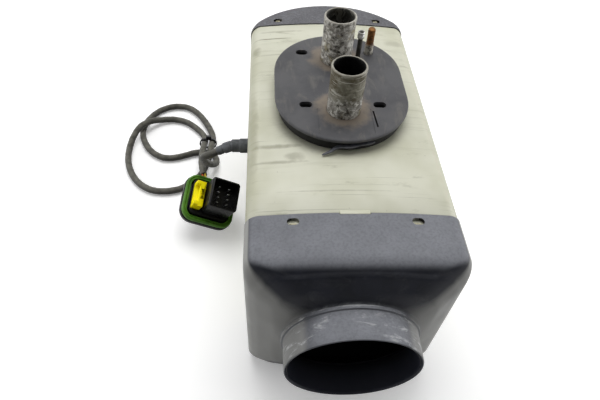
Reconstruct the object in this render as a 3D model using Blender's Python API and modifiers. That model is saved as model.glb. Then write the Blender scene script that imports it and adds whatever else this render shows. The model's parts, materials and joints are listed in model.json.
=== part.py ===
"""Truck air heater, built as separate pieces in their real places.

Metres, +Z up. The heater lies as it does on a bench: its mounting face with the pipes points up (+Z),
the warm air leaves towards -Y and the cold air enters from +Y. The origin is on the table, under the
middle of the body. All round pieces of the burner, blower and motor share one axis along Y.
"""

import math

import bmesh
import bpy
import numpy as np
from mathutils import Matrix, Vector

# Overall sizes
TOTAL_LENGTH = 0.371
BODY_WIDTH = 0.139
HOOD_PROUD = 0.0005
HOOD_WIDTH = BODY_WIDTH + 2 * HOOD_PROUD
BODY_HEIGHT = 0.1393
TOP_CROWN = 0.003
CORNER_RADIUS = 0.011
WALL = 0.0025
FIT_GAP = 0.0003
AXIS_HEIGHT = 0.070
PARTING_DROP = 0.001
PARTING_HEIGHT = AXIS_HEIGHT - PARTING_DROP

# Stations along the body, measured from the rim of the warm-air outlet
FRONT_JOINT = 0.0745
REAR_JOINT = 0.2975
COLLAR_LENGTH = 0.015

# Warm-air outlet hood
HOOD_WALL = 0.0023
SPIGOT_DIAMETER = 0.090
SHOULDER_CORNERS = (0.026, 0.022, 0.017)
OUTLET_FACE = 0.0235
OUTLET_SHOULDER = 0.033
FACE_RING_RADIUS = 0.0495

# Cold-air intake hood
INTAKE_APEX = 0.333
INTAKE_CHEEK = 0.3015
INTAKE_CHEEK_INSET = 0.003
INTAKE_CHEEK_HALF_WIDTH = BODY_WIDTH / 2 - INTAKE_CHEEK_INSET
INTAKE_CHEEK_ROUNDING = 0.0028
INTAKE_EDGE_RADIUS = 0.007
GRILLE_DEPTH = 0.0085
GRILLE_THICKNESS = 0.003
GRILLE_BAR = 0.0016

# Snap tongues of the body in the oval holes of the hoods
SNAP_LENGTH = 0.0095
SNAP_WIDTH = 0.0050
SNAP_GAP = 0.0005
FRONT_SNAP_X = 0.0391
FRONT_SNAP = 0.0683
REAR_SNAP_X = 0.0449
REAR_SNAP = 0.3049

# Mounting foot and flange seal
SEAL_RADIUS = 0.0494
SEAL_BASE_RADIUS = 0.0414
SEAL_RISE = 0.0107
SEAL_TOP = BODY_HEIGHT + SEAL_RISE
SEAL_BAND = 0.0046
SEAL_FIT = 0.0005
FOOT_TOP = SEAL_TOP - SEAL_BAND - FIT_GAP
FOOT_RADIUS = 0.0398
FOOT_FRONT_CENTRE = 0.178
FOOT_REAR_CENTRE = 0.211
FOOT_SPLIT = 0.197
STUD_X = 0.027
STUD_FRONT = 0.168
STUD_REAR = 0.2348
STUD_HOLE_RADIUS = 0.0038

# Pipes and stud
PIPE_RADIUS = 0.0121
PIPE_WALL = 0.0015
PIPE_REACH = 0.036
PIPE_TOP = SEAL_TOP + PIPE_REACH
PIPE_SEAT_DEPTH = 0.012
EXHAUST_AT = 0.1632
AIR_PIPE_AT = 0.2270
FUEL_PIPE_X = 0.0175
FUEL_PIPE_AT = 0.2273
FUEL_PIPE_RADIUS = 0.0019
FUEL_PIPE_BORE = 0.0009
FUEL_PIPE_REACH = 0.0228
FUEL_PIPE_TOP = SEAL_TOP + FUEL_PIPE_REACH
FERRULE_RADIUS = 0.00275
FERRULE_LENGTH = 0.005
STUD_RADIUS = 0.003
STUD_SEAT_RADIUS = 0.0025
STUD_REACH = 0.0213
STUD_TOP = SEAL_TOP + STUD_REACH
STUD_COLLAR_RADIUS = 0.0035
STUD_COLLAR_REACH = 0.0085
STUD_COLLAR_TOP = SEAL_TOP + STUD_COLLAR_REACH
STUD_SEAT_DEPTH = 0.010

# Heat exchanger
EXCHANGER_FRONT = 0.084
EXCHANGER_REAR = 0.205
EXCHANGER_CORE_RADIUS = 0.0445
EXCHANGER_BORE_RADIUS = 0.040
EXCHANGER_NOSE_RADIUS = 0.028
FIN_RADIUS = 0.056
FIN_COUNT = 22
FIN_ROOT_SHARE = 0.36
FIN_TIP_SHARE = 0.22
FLANGE_RADIUS = 0.050
FLANGE_THICKNESS = 0.006

# Burner
CHAMBER_FRONT = 0.116
CHAMBER_RADIUS = 0.030
CHAMBER_WALL = 0.0015
CHAMBER_DISC_THICKNESS = 0.003
CHAMBER_HOLE_RADIUS = 0.0025
CHAMBER_HOLE_COUNT = 12
CHAMBER_HOLE_SPREAD = 0.016
GASKET_THICKNESS = 0.0014
GLOW_PLUG_X = 0.012
GLOW_PLUG_RISE = 0.012
GLOW_PLUG_RADIUS = 0.005
GLOW_PLUG_TIP_RADIUS = 0.0025
GLOW_PLUG_TIP = 0.176
SCREEN_THICKNESS = 0.002
SCREEN_RADIUS = 0.011

# Blower housing, motor and fan
BLOWER_RADIUS = 0.035
BLOWER_REAR = 0.262
IMPELLER_CHAMBER_RADIUS = 0.0300
IMPELLER_CHAMBER_FRONT = 0.2455
SUCTION_RADIUS = 0.018
SUCTION_FRONT = 0.2195
IMPELLER_RADIUS = 0.0280
IMPELLER_BLADES = 12
IMPELLER_DEPTH = 0.011
COVER_THICKNESS = 0.0045
MOTOR_RADIUS = 0.029
MOTOR_WALL = 0.0015
MOTOR_REAR = 0.296
MOTOR_FLANGE_THICKNESS = 0.002
SHAFT_RADIUS = 0.003
SHAFT_FRONT = 0.2465
SHAFT_REAR = 0.3095
BEARING_RADIUS = 0.008
BEARING_WIDTH = 0.005
BEARING_SEAT = 0.0002
STATOR_LENGTH = 0.014
STATOR_TEETH = 9
STATOR_BORE = 0.0155
ROTOR_RADIUS = 0.0148
ROTOR_LENGTH = 0.012
FAN_RADIUS = 0.054
FAN_HUB_RADIUS = 0.0165
FAN_FRONT = 0.2972
FAN_DEPTH = 0.0115
FAN_BLADES = 9
FAN_BLADE_THICKNESS = 0.0016
FAN_BLADE_PITCH = math.radians(34.0)

# Control unit
CONTROL_HALF_WIDTH = 0.040
CONTROL_FRONT = 0.2145
CONTROL_REAR = 0.2915
CONTROL_BOTTOM = 0.0080
CONTROL_COVER_HEIGHT = 0.0060
CONTROL_WALL = 0.0020
BOARD_THICKNESS = 0.0016

# Overheat sensor on the nose of the heat exchanger
SENSOR_RADIUS = 0.0040
SENSOR_LENGTH = 0.016
CLIP_THICKNESS = 0.0006
CLIP_WIDTH = 0.008

# Screws
SCREW_HEAD_HEIGHT = 0.0028
BURNER_SCREW_RADIUS = 0.0020
BURNER_SCREW_CIRCLE = 0.0452
BURNER_SCREW_DEPTH = 0.0040
MOTOR_SCREW_RADIUS = 0.0015
MOTOR_SCREW_HEAD = 0.0026
MOTOR_SCREW_CIRCLE = 0.0322
MOTOR_SCREW_DEPTH = 0.006
CONTROL_SCREW_RADIUS = 0.0015
CONTROL_SCREW_DEPTH = 0.0040

# Side cover and cable gland on the left side
SIDE_COVER_FRONT = 0.2035
SIDE_COVER_REAR = 0.2465
SIDE_COVER_HALF_HEIGHT = 0.015
SIDE_COVER_THICKNESS = 0.0028
SIDE_COVER_PROUD = 0.0011
GLAND_AT = 0.2115
GLAND_RADIUS = 0.0065
GLAND_STEP_RADIUS = 0.0052
GLAND_TAIL_RADIUS = 0.0044

# Harness, cable tie and wires
HARNESS_DIAMETER = 0.0070
HARNESS_STEP = 0.0115
TIE_WIDTH = 0.004
TIE_THICKNESS = 0.0012
WIRE_DIAMETER = 0.0018

# Plug
PLUG_WIDTH = 0.050
PLUG_HEIGHT = 0.046
PLUG_CORNER = 0.012
PLUG_FLANGE_THICKNESS = 0.0060
PLUG_BACK_DEPTH = 0.0085
PLUG_BACK_WIDTH = 0.030
PLUG_BACK_HEIGHT = 0.028
PLUG_SEAL_WIDTH = 0.0045
PLUG_SEAL_HEIGHT = 0.0040
PLUG_CENTRE = Vector((-0.1095, -0.0045, 0.0275))
PLUG_NORMAL = Vector((0.42, -0.35, 0.84))
PLUG_RIGHT = Vector((0.897, 0.02, -0.441))
CONNECTOR_WIDTH = 0.026
CONNECTOR_HEIGHT = 0.028
CONNECTOR_LENGTH = 0.024
CONNECTOR_OFFSET = 0.0055
BASE_WIDTH = 0.037
BASE_HEIGHT = 0.034
BASE_DEPTH = 0.005
LOCK_WIDTH = 0.0085
LOCK_HEIGHT = 0.024
LOCK_DEPTH = 0.010
LOCK_TRAVEL = 0.003

# Facets round a full circle
ROUND_STEPS = 24
SMALL_STEPS = 8
HOLE_STEPS = 12
BEARING_STEPS = 16
FOOT_STEPS = 12

# Places that follow from the sizes above
HALF_LENGTH = TOTAL_LENGTH / 2
HOOD_HALF_WIDTH = HOOD_WIDTH / 2
BODY_HALF_WIDTH = BODY_WIDTH / 2
HOOD_TOP = BODY_HEIGHT + HOOD_HALF_WIDTH - BODY_HALF_WIDTH
COLLAR_INSET = HOOD_WALL + FIT_GAP + 0.0002
FORWARD = (0, 1, 0)
BLOWER_FACE = EXCHANGER_REAR + GASKET_THICKNESS + 2 * FIT_GAP
BLOWER_FLANGE_REAR = BLOWER_FACE + 0.0036
COVER_FACE = BLOWER_REAR + FIT_GAP
MOTOR_FACE = COVER_FACE + COVER_THICKNESS + FIT_GAP
MOTOR_FLANGE_REAR = MOTOR_FACE + MOTOR_FLANGE_THICKNESS

# Delivery bore of the blower, glow plug and shaft hole
DELIVERY_X = -0.024
DELIVERY_RADIUS = 0.004
BLOWER_NECK_X = (-0.017, 0.023)
BLOWER_NECK_SPAN = (-0.0135, 0.0155)
GLOW_PLUG_HOLE = GLOW_PLUG_RADIUS + FIT_GAP
GLOW_PLUG_HEAD = 0.0062
GLOW_PLUG_REAR = BLOWER_FACE + 0.0094
SHAFT_HOLE = SHAFT_RADIUS + 0.0006
CONTROL_TOP = AXIS_HEIGHT - BLOWER_RADIUS - FIT_GAP
CONTROL_SCREW_STATIONS = (0.2295, 0.2515)
CONTROL_PAD_STATIONS = (0.224, 0.257)
CONTROL_PAD_HALF_WIDTH = 0.014

# Steps of the cable gland
GLAND_NECK = 0.0050
GLAND_SLEEVE_LENGTH = 0.0160
GLAND_STEP_LENGTH = 0.0078
GLAND_TAIL_LENGTH = 0.0068
GLAND_STEP_DROOP = math.radians(24)
GLAND_TAIL_DROOP = math.radians(30)

# Where the cable tie sits, counted along the route of the harness
TIE_AT = 51
TIE_NEIGHBOUR = 27
CONNECTOR_WALL = 0.002
CONNECTOR_MOUTH = 0.012

# Route of the harness on the table, from the gland to the wires of the plug, as chosen by hand
HARNESS_ROUTE = [
    (-0.1120, 0.0280, 0.0558), (-0.1155, 0.0325, 0.0488), (-0.1163, 0.0395, 0.0395),
    (-0.1150, 0.0490, 0.0265), (-0.1120, 0.0585, 0.0145), (-0.1092, 0.0680, 0.0068),
    (-0.1095, 0.0765, 0.0038), (-0.1125, 0.0830, 0.0035), (-0.1178, 0.0868, 0.0035),
    (-0.1245, 0.0882, 0.0035), (-0.1345, 0.0868, 0.0035), (-0.1440, 0.0830, 0.0035),
    (-0.1550, 0.0795, 0.0035), (-0.1670, 0.0800, 0.0035), (-0.1790, 0.0880, 0.0035),
    (-0.1880, 0.1010, 0.0035), (-0.1935, 0.1160, 0.0035), (-0.1938, 0.1320, 0.0035),
    (-0.1880, 0.1475, 0.0035), (-0.1780, 0.1595, 0.0035), (-0.1640, 0.1660, 0.0035),
    (-0.1480, 0.1640, 0.0035), (-0.1345, 0.1520, 0.0035), (-0.1235, 0.1340, 0.0035),
    (-0.1175, 0.1200, 0.0035), (-0.1155, 0.1120, 0.0038), (-0.1153, 0.1045, 0.0054),
    (-0.1153, 0.0980, 0.0077), (-0.1153, 0.0920, 0.0099), (-0.1154, 0.0850, 0.0112),
    (-0.1161, 0.0770, 0.0107), (-0.1180, 0.0690, 0.0084), (-0.1213, 0.0600, 0.0053),
    (-0.1265, 0.0505, 0.0036), (-0.1345, 0.0405, 0.0035), (-0.1460, 0.0335, 0.0035),
    (-0.1600, 0.0310, 0.0035), (-0.1740, 0.0335, 0.0035), (-0.1870, 0.0430, 0.0035),
    (-0.1970, 0.0580, 0.0035), (-0.2030, 0.0760, 0.0035), (-0.2042, 0.0935, 0.0048),
    (-0.2010, 0.1085, 0.0090), (-0.1950, 0.1215, 0.0114), (-0.1860, 0.1325, 0.0092),
    (-0.1750, 0.1400, 0.0050), (-0.1610, 0.1425, 0.0035), (-0.1460, 0.1370, 0.0035),
    (-0.1335, 0.1255, 0.0035), (-0.1258, 0.1145, 0.0037), (-0.1235, 0.1055, 0.0050),
    (-0.1233, 0.0980, 0.0076), (-0.1233, 0.0920, 0.0102), (-0.1233, 0.0850, 0.0124),
    (-0.1233, 0.0770, 0.0139), (-0.1231, 0.0680, 0.0147), (-0.1223, 0.0580, 0.0155),
    (-0.1204, 0.0480, 0.0170), (-0.1183, 0.0390, 0.0190),
]


def along(station):
    """Y of a station measured from the rim of the warm-air outlet."""
    return station - HALF_LENGTH


def clear_scene():
    """Remove what the file holds and make the collections."""
    for thing in list(bpy.data.objects):
        bpy.data.objects.remove(thing, do_unlink=True)
    made = []
    for name in ("truck_air_heater", "cutters"):
        collection = bpy.data.collections.new(name)
        bpy.context.scene.collection.children.link(collection)
        made.append(collection)
    return made


PART, CUTTERS = clear_scene()


def material(name, colour, roughness, metallic=0.0):
    """Principled material from an sRGB hex colour."""
    made = bpy.data.materials.new(name)
    made.use_nodes = True
    shader = made.node_tree.nodes["Principled BSDF"]
    channels = [int(colour[i:i + 2], 16) / 255 for i in (1, 3, 5)]
    linear = [c / 12.92 if c <= 0.04045 else ((c + 0.055) / 1.055) ** 2.4 for c in channels]
    shader.inputs["Base Color"].default_value = (*linear, 1.0)
    shader.inputs["Roughness"].default_value = roughness
    shader.inputs["Metallic"].default_value = metallic
    return made


BEIGE_PLASTIC = material("moulded beige-grey polyamide", "#cbcbba", 0.5)
HOOD_PLASTIC = material("moulded slate-grey polyamide", "#4c4e53", 0.45)
BLACK_PLASTIC = material("moulded black polyamide", "#121214", 0.4)
SEAL_RUBBER = material("dark grey rubber", "#505257", 0.7)
GREEN_RUBBER = material("green silicone rubber", "#4f7f35", 0.5)
YELLOW_PLASTIC = material("moulded yellow polybutylene", "#f0e000", 0.4)
HARNESS_TAPE = material("cloth harness tape", "#454540", 0.85)
CAST_ALUMINIUM = material("die-cast aluminium", "#a9abad", 0.45, 1.0)
PIPE_STEEL = material("corroded stainless steel", "#8f8a80", 0.6, 0.8)
BRIGHT_STEEL = material("zinc-plated steel", "#b9bcc0", 0.35, 1.0)
RUSTY_STEEL = material("rusted steel", "#7a5036", 0.8, 0.5)
HEAT_STEEL = material("heat-resistant sheet steel", "#837a70", 0.45, 1.0)
GASKET_FIBRE = material("graphite fibre gasket", "#3a3a3c", 0.9)
MAGNET = material("sintered ferrite magnet", "#37383c", 0.5, 0.3)
LAMINATION = material("stamped electrical steel", "#6f7378", 0.4, 0.9)
BOARD_LAMINATE = material("glass-epoxy laminate", "#1f5a35", 0.4)
ORANGE_PVC = material("orange wire insulation", "#c9601c", 0.5)
YELLOW_PVC = material("yellow wire insulation", "#d8b83a", 0.5)


def place(name, mesh, finish, smooth_angle=None):
    """Put a mesh in the part's collection as a named piece."""
    piece = bpy.data.objects.new(name, mesh)
    PART.objects.link(piece)
    mesh.materials.clear()
    mesh.materials.append(finish)
    if smooth_angle is not None:
        mesh.shade_smooth()
        mesh.set_sharp_from_angle(angle=math.radians(smooth_angle))
    return piece


def as_tool(piece):
    """Turn a piece into a hidden cutter or a form that is joined to another."""
    PART.objects.unlink(piece)
    CUTTERS.objects.link(piece)
    piece.hide_render = True
    piece.display_type = "WIRE"
    return piece


def combine(target, tool, operation):
    """Add a Boolean modifier with a hidden tool."""
    if tool.name not in CUTTERS.objects:
        as_tool(tool)
    step = target.modifiers.new(f"{operation.lower()} {tool.name}", "BOOLEAN")
    step.operation = operation
    step.solver = "EXACT"
    step.object = tool
    return target


def cut(target, tool):
    """Cut a tool out of a piece."""
    return combine(target, tool, "DIFFERENCE")


def fuse(target, tool):
    """Join a form to a piece."""
    return combine(target, tool, "UNION")


def warped(face):
    """Whether a four-sided face is bent out of its plane."""
    a, b, c, d = (vert.co for vert in face.verts)
    normal = (b - a).cross(c - a)
    return normal.length > 0 and abs(normal.normalized().dot(d - a)) > 0.000002


def loft(name, rings, finish, closed_rings=True, caps=True, smooth_angle=30):
    """Skin through rings of points that run counter-clockwise as seen from the first ring's side."""
    bm = bmesh.new()
    rows = [[bm.verts.new(p) for p in ring] for ring in rings]
    count = len(rows[0])
    for first, second in zip(rows, rows[1:]):
        for i in range(count if closed_rings else count - 1):
            j = (i + 1) % count
            bm.faces.new((first[i], second[i], second[j], first[j]))
    bmesh.ops.triangulate(bm, faces=[face for face in bm.faces if warped(face)])
    if caps:
        bm.faces.new(rows[0])
        bm.faces.new(reversed(rows[-1]))
    mesh = bpy.data.meshes.new(name)
    bm.to_mesh(mesh)
    bm.free()
    return place(name, mesh, finish, smooth_angle)


def turned(name, profile, finish, centre, direction=(0, 1, 0), steps=ROUND_STEPS, closed=False):
    """Turned piece: (radius, distance along the axis) points with a Screw modifier.

    The profile starts at the far end of the axis, runs down its outer side and, when closed, back up
    the bore to the start.
    """
    mesh = bpy.data.meshes.new(name)
    edges = [(i, i + 1) for i in range(len(profile) - 1)]
    if closed:
        edges.append((len(profile) - 1, 0))
    mesh.from_pydata([(r, 0, h) for r, h in profile], edges, [])
    piece = place(name, mesh, finish)
    spin = piece.modifiers.new("turn", "SCREW")
    spin.axis = "Z"
    spin.angle = math.tau
    spin.steps = steps
    spin.render_steps = steps
    spin.use_merge_vertices = True
    spin.merge_threshold = 0.00001
    spin.use_smooth_shade = False
    axis = Vector(direction).normalized()
    piece.matrix_world = Matrix.Translation(centre) @ axis.to_track_quat("Z", "Y").to_matrix().to_4x4()
    return piece


def ring_profile(inner, outer, start, end):
    """Closed profile of a plain ring."""
    return [(inner, end), (outer, end), (outer, start), (inner, start)]


def rod_profile(radius, start, end, chamfer=0.0):
    """Open profile of a solid rod with chamfered ends."""
    if chamfer:
        return [(0, end), (radius - chamfer, end), (radius, end - chamfer),
                (radius, start + chamfer), (radius - chamfer, start), (0, start)]
    return [(0, end), (radius, end), (radius, start), (0, start)]


def cylinder(name, radius, start, end, centre, direction=(0, 1, 0), steps=ROUND_STEPS):
    """Cylinder primitive between two distances along an axis."""
    bm = bmesh.new()
    bmesh.ops.create_cone(bm, cap_ends=True, segments=steps, radius1=radius, radius2=radius,
                          depth=end - start)
    bmesh.ops.translate(bm, verts=bm.verts, vec=(0, 0, (start + end) / 2))
    mesh = bpy.data.meshes.new(name)
    bm.to_mesh(mesh)
    bm.free()
    piece = place(name, mesh, BLACK_PLASTIC)
    axis = Vector(direction).normalized()
    piece.matrix_world = Matrix.Translation(centre) @ axis.to_track_quat("Z", "Y").to_matrix().to_4x4()
    return piece


def block(name, low, high, finish=None, bevel=0.0, frame=None):
    """Box primitive between two corners, with its edges rounded, in a frame of its own if given."""
    low, high = Vector(low), Vector(high)
    bm = bmesh.new()
    bmesh.ops.create_cube(bm, size=1.0)
    bmesh.ops.scale(bm, verts=bm.verts, vec=high - low)
    bmesh.ops.translate(bm, verts=bm.verts, vec=(high + low) / 2)
    mesh = bpy.data.meshes.new(name)
    bm.to_mesh(mesh)
    bm.free()
    piece = place(name, mesh, finish or BLACK_PLASTIC)
    if frame is not None:
        piece.matrix_world = frame
    if bevel:
        rounding = piece.modifiers.new("rounded edges", "BEVEL")
        rounding.width = bevel
        rounding.segments = 2
        rounding.limit_method = "ANGLE"
    return piece


def plate(name, outlines, thickness, finish, frame, smooth_angle=None):
    """Flat plate from closed outlines, inner ones being holes, centred on the frame's XY plane."""
    curve = bpy.data.curves.new(name, "CURVE")
    curve.dimensions = "2D"
    curve.fill_mode = "BOTH"
    curve.extrude = thickness / 2
    for outline in outlines:
        spline = curve.splines.new("POLY")
        spline.points.add(len(outline) - 1)
        for point, (x, y) in zip(spline.points, outline):
            point.co = (x, y, 0, 1)
        spline.use_cyclic_u = True
    guide = bpy.data.objects.new(name + " outline", curve)
    PART.objects.link(guide)
    return solid_from_curve(name, guide, finish, frame, smooth_angle)


def tube(name, points, radius, finish, radii=None, resolution=3):
    """Rod or cable along points, a curve with a round bevel and closed ends."""
    curve = bpy.data.curves.new(name, "CURVE")
    curve.dimensions = "3D"
    curve.bevel_depth = radius
    curve.bevel_resolution = resolution
    curve.use_fill_caps = True
    spline = curve.splines.new("POLY")
    spline.points.add(len(points) - 1)
    for i, (point, place_at) in enumerate(zip(spline.points, points)):
        point.co = (*place_at, 1)
        point.radius = radii[i] if radii else 1.0
    piece = bpy.data.objects.new(name, curve)
    PART.objects.link(piece)
    curve.materials.append(finish)
    return piece


def solid_from_curve(name, guide, finish, frame=None, smooth_angle=None):
    """Mesh copy of a curve object with its caps welded; the curve is removed."""
    bpy.context.view_layer.update()
    evaluated = guide.evaluated_get(bpy.context.evaluated_depsgraph_get())
    mesh = bpy.data.meshes.new_from_object(evaluated)
    mesh.name = name
    bm = bmesh.new()
    bm.from_mesh(mesh)
    bmesh.ops.remove_doubles(bm, verts=bm.verts, dist=0.000005)
    bmesh.ops.recalc_face_normals(bm, faces=bm.faces)
    bm.to_mesh(mesh)
    bm.free()
    matrix = guide.matrix_world.copy()
    bpy.data.objects.remove(guide, do_unlink=True)
    piece = place(name, mesh, finish, smooth_angle)
    piece.name = name
    piece.matrix_world = matrix if frame is None else frame
    return piece


def arc(cx, cy, radius, start, end, steps):
    """Points of an arc from one angle to another, both ends included."""
    angles = [start + (end - start) * i / steps for i in range(steps + 1)]
    return [(cx + radius * math.cos(a), cy + radius * math.sin(a)) for a in angles]


def circle(cx, cy, radius, steps):
    """Points of a circle."""
    return arc(cx, cy, radius, 0, math.tau, steps)[:-1]


def rounded_rectangle(width, height, radius, steps=5):
    """Counter-clockwise rounded rectangle about its middle."""
    x, y = width / 2 - radius, height / 2 - radius
    quarter = math.pi / 2
    points = []
    for i, (sx, sy) in enumerate(((1, 1), (-1, 1), (-1, -1), (1, -1))):
        points += arc(sx * x, sy * y, radius, i * quarter, (i + 1) * quarter, steps)
    return points


def stadium(radius, front, rear, steps=FOOT_STEPS):
    """Plan outline of the mounting foot and its seal."""
    return (arc(0, along(rear), radius, 0, math.pi, steps)
            + arc(0, along(front), radius, math.pi, math.tau, steps))


def upper_outline(half_width, top, corner, crown, inset=0.0, side_steps=2, arc_steps=4, top_steps=6):
    """Upper half of the body's section, from the right parting edge over the crown to the left one."""
    half_width, top, radius = half_width - inset, top - inset, max(corner - inset, 0.002)
    flat = half_width - radius
    edge = top - crown
    centre_height = edge - radius
    side = [(half_width, PARTING_HEIGHT + (centre_height - PARTING_HEIGHT) * i / side_steps)
            for i in range(side_steps)]
    right = arc(flat, centre_height, radius, 0, math.pi / 2, arc_steps)
    crest = [(flat * (1 - 2 * i / top_steps), edge + crown * (1 - (1 - 2 * i / top_steps) ** 2))
             for i in range(1, top_steps)]
    left = [(-x, z) for x, z in reversed(right)]
    return side + right + crest + left + [(-x, z) for x, z in reversed(side)]


def lower_outline(half_width, corner, inset=0.0, side_steps=2, arc_steps=4, base_steps=6):
    """Lower half of the body's section, from the left parting edge under the flat base to the right."""
    half_width, radius = half_width - inset, max(corner - inset, 0.002)
    flat = half_width - radius
    side = [(-half_width, PARTING_HEIGHT + (inset + radius - PARTING_HEIGHT) * i / side_steps)
            for i in range(side_steps)]
    left = arc(-flat, inset + radius, radius, math.pi, math.pi * 1.5, arc_steps)
    base = [(-flat * (1 - 2 * i / base_steps), inset) for i in range(1, base_steps)]
    right = [(-x, z) for x, z in reversed(left)]
    return side + left + base + right + [(-x, z) for x, z in reversed(side)]


def full_outline(half_width, top, corner, crown, inset=0.0):
    """Whole section of the body, counter-clockwise as seen from the outlet."""
    lower = lower_outline(half_width, corner, inset)
    upper = upper_outline(half_width, top, corner, crown, inset)
    return lower[:-1] + upper[:-1]


def at_station(outline, station):
    """Section points placed at a station."""
    return [Vector((x, along(station), z)) for x, z in outline]


def shell_wall(piece, thickness):
    """Give an open skin its wall, inwards from the visible surface."""
    wall = piece.modifiers.new("wall", "SOLIDIFY")
    wall.thickness = thickness
    wall.offset = -1.0
    wall.use_even_offset = True
    wall.use_quality_normals = True
    return piece


def axis_point(station=0.0):
    """Point of the machine axis at a station."""
    return Vector((0, along(station), AXIS_HEIGHT))


def body_shells():
    """Two clam halves that meet at the parting line, each with a collar under both hoods."""
    half_gap = FIT_GAP / 2
    body_corner = CORNER_RADIUS
    collar = HOOD_HALF_WIDTH - BODY_HALF_WIDTH
    stations = [
        (FRONT_JOINT - COLLAR_LENGTH, COLLAR_INSET - collar),
        (FRONT_JOINT + FIT_GAP, COLLAR_INSET - collar),
        (FRONT_JOINT + FIT_GAP, 0.0),
        (REAR_JOINT - FIT_GAP, 0.0),
        (REAR_JOINT - FIT_GAP, COLLAR_INSET - collar),
        (REAR_JOINT + COLLAR_LENGTH, COLLAR_INSET - collar),
    ]
    upper, lower = [], []
    for station, inset in stations:
        low = lower_outline(BODY_HALF_WIDTH, body_corner, inset if inset == 0 else COLLAR_INSET,
                            side_steps=1, base_steps=2)
        if inset:
            spare = BODY_HALF_WIDTH - COLLAR_INSET
            low = [(max(-spare, min(spare, x)), z) for x, z in low]
        high = upper_outline(BODY_HALF_WIDTH, BODY_HEIGHT, body_corner, TOP_CROWN, inset, side_steps=1)
        upper.append(at_station([(x, max(z, PARTING_HEIGHT + half_gap)) for x, z in high], station))
        lower.append(at_station([(x, min(z, PARTING_HEIGHT - half_gap)) for x, z in low], station))
    mounting = loft("mounting_shell", upper, BEIGE_PLASTIC, closed_rings=False, caps=False)
    cover = loft("cover_shell", lower, BEIGE_PLASTIC, closed_rings=False, caps=False)
    shell_wall(mounting, WALL)
    shell_wall(cover, WALL)
    for piece in (mounting, cover):
        cut(piece, collar_trim(piece.name + " collar trim"))
    return mounting, cover


def collar_trim(name):
    """Everything outside the bowed rear wall, so that the rear collar clears the intake hood."""
    start = along(REAR_JOINT) + FIT_GAP
    plan = intake_plan(COLLAR_INSET + INTAKE_EDGE_RADIUS, 0.0)
    bow = [(x, y) for x, y in plan if y > start + FIT_GAP]
    reach, half = BODY_WIDTH, abs(bow[0][0])
    outline = ([(half, start)] + bow + [(-half, start), (-reach, start), (-reach, 2 * reach),
                                        (reach, 2 * reach), (reach, start)])
    frame = Matrix.Translation((0, 0, AXIS_HEIGHT))
    return plate(name, [outline], 2 * BODY_HEIGHT, BEIGE_PLASTIC, frame)


def snap_places():
    """X and station of each snap tongue, in pairs for the front and the rear hood."""
    return [(side * x, station) for x, station in ((FRONT_SNAP_X, FRONT_SNAP), (REAR_SNAP_X, REAR_SNAP))
            for side in (-1, 1)]


def snap_form(name, x, station, grow, low, high):
    """Oval pad that fills or cuts a snap hole."""
    outline = [(x + px, along(station) + py) for px, py in rounded_rectangle(
        SNAP_LENGTH + 2 * grow, SNAP_WIDTH + 2 * grow, SNAP_WIDTH / 2 + grow - 0.0001, 2)]
    frame = Matrix.Translation((0, 0, (low + high) / 2))
    return plate(name, [outline], high - low, BEIGE_PLASTIC, frame)


def snaps_and_holes(mounting, cover, outlet_hood, intake_hood):
    """Tongues on the collars and the oval holes of the hoods, above and below."""
    for number, (x, station) in enumerate(snap_places(), 1):
        hood = outlet_hood if station < FRONT_JOINT else intake_hood
        above = HOOD_TOP - TOP_CROWN * (x / (HOOD_HALF_WIDTH - CORNER_RADIUS)) ** 2
        tongue = snap_form(f"top tongue {number}", x, station, 0, above - HOOD_WALL - 0.003,
                           above - 0.0006)
        fuse(mounting, tongue)
        tongue = snap_form(f"bottom tongue {number}", x, station, 0, 0.0006, HOOD_WALL + 0.003)
        fuse(cover, tongue)
        top_hole = snap_form(f"top hole {number}", x, station, SNAP_GAP, above - HOOD_WALL - 0.0025,
                             above + 0.002)
        cut(hood, top_hole)
        bottom_hole = snap_form(f"bottom hole {number}", x, station, SNAP_GAP, -0.002,
                                HOOD_WALL + 0.0015)
        cut(hood, bottom_hole)


def outlet_hood():
    """Warm-air hood: body section, rounded shoulder, four soft facets and the round spigot."""
    def hood_outline(corner, inset=0.0):
        return full_outline(HOOD_HALF_WIDTH, HOOD_TOP, corner, TOP_CROWN, inset)

    spigot = SPIGOT_DIAMETER / 2
    shoulder = hood_outline(SHOULDER_CORNERS[0], 0.0055)
    angles = [math.atan2(z - AXIS_HEIGHT, x) for x, z in shoulder]

    def round_ring(radius):
        return [(radius * math.cos(a), AXIS_HEIGHT + radius * math.sin(a)) for a in angles]

    def blend(share, radius):
        return [((1 - share) * x + share * cx, (1 - share) * z + share * cz)
                for (x, z), (cx, cz) in zip(shoulder, round_ring(radius))]

    rings = [
        (0.0, round_ring(spigot)),
        (OUTLET_FACE - 0.0045, round_ring(spigot)),
        (OUTLET_FACE - 0.0015, round_ring(spigot + 0.0012)),
        (OUTLET_FACE, round_ring(FACE_RING_RADIUS)),
        (OUTLET_FACE + 0.0045, blend(0.45, FACE_RING_RADIUS)),
        (OUTLET_SHOULDER, shoulder),
        (OUTLET_SHOULDER + 0.0020, hood_outline(SHOULDER_CORNERS[1], 0.0030)),
        (OUTLET_SHOULDER + 0.0050, hood_outline(SHOULDER_CORNERS[2], 0.0011)),
        (OUTLET_SHOULDER + 0.0120, hood_outline(CORNER_RADIUS)),
        (FRONT_JOINT, hood_outline(CORNER_RADIUS)),
    ]
    skin = [at_station(outline, station) for station, outline in rings]
    hood = loft("outlet_hood", skin, HOOD_PLASTIC, caps=False)
    return shell_wall(hood, HOOD_WALL)


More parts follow.
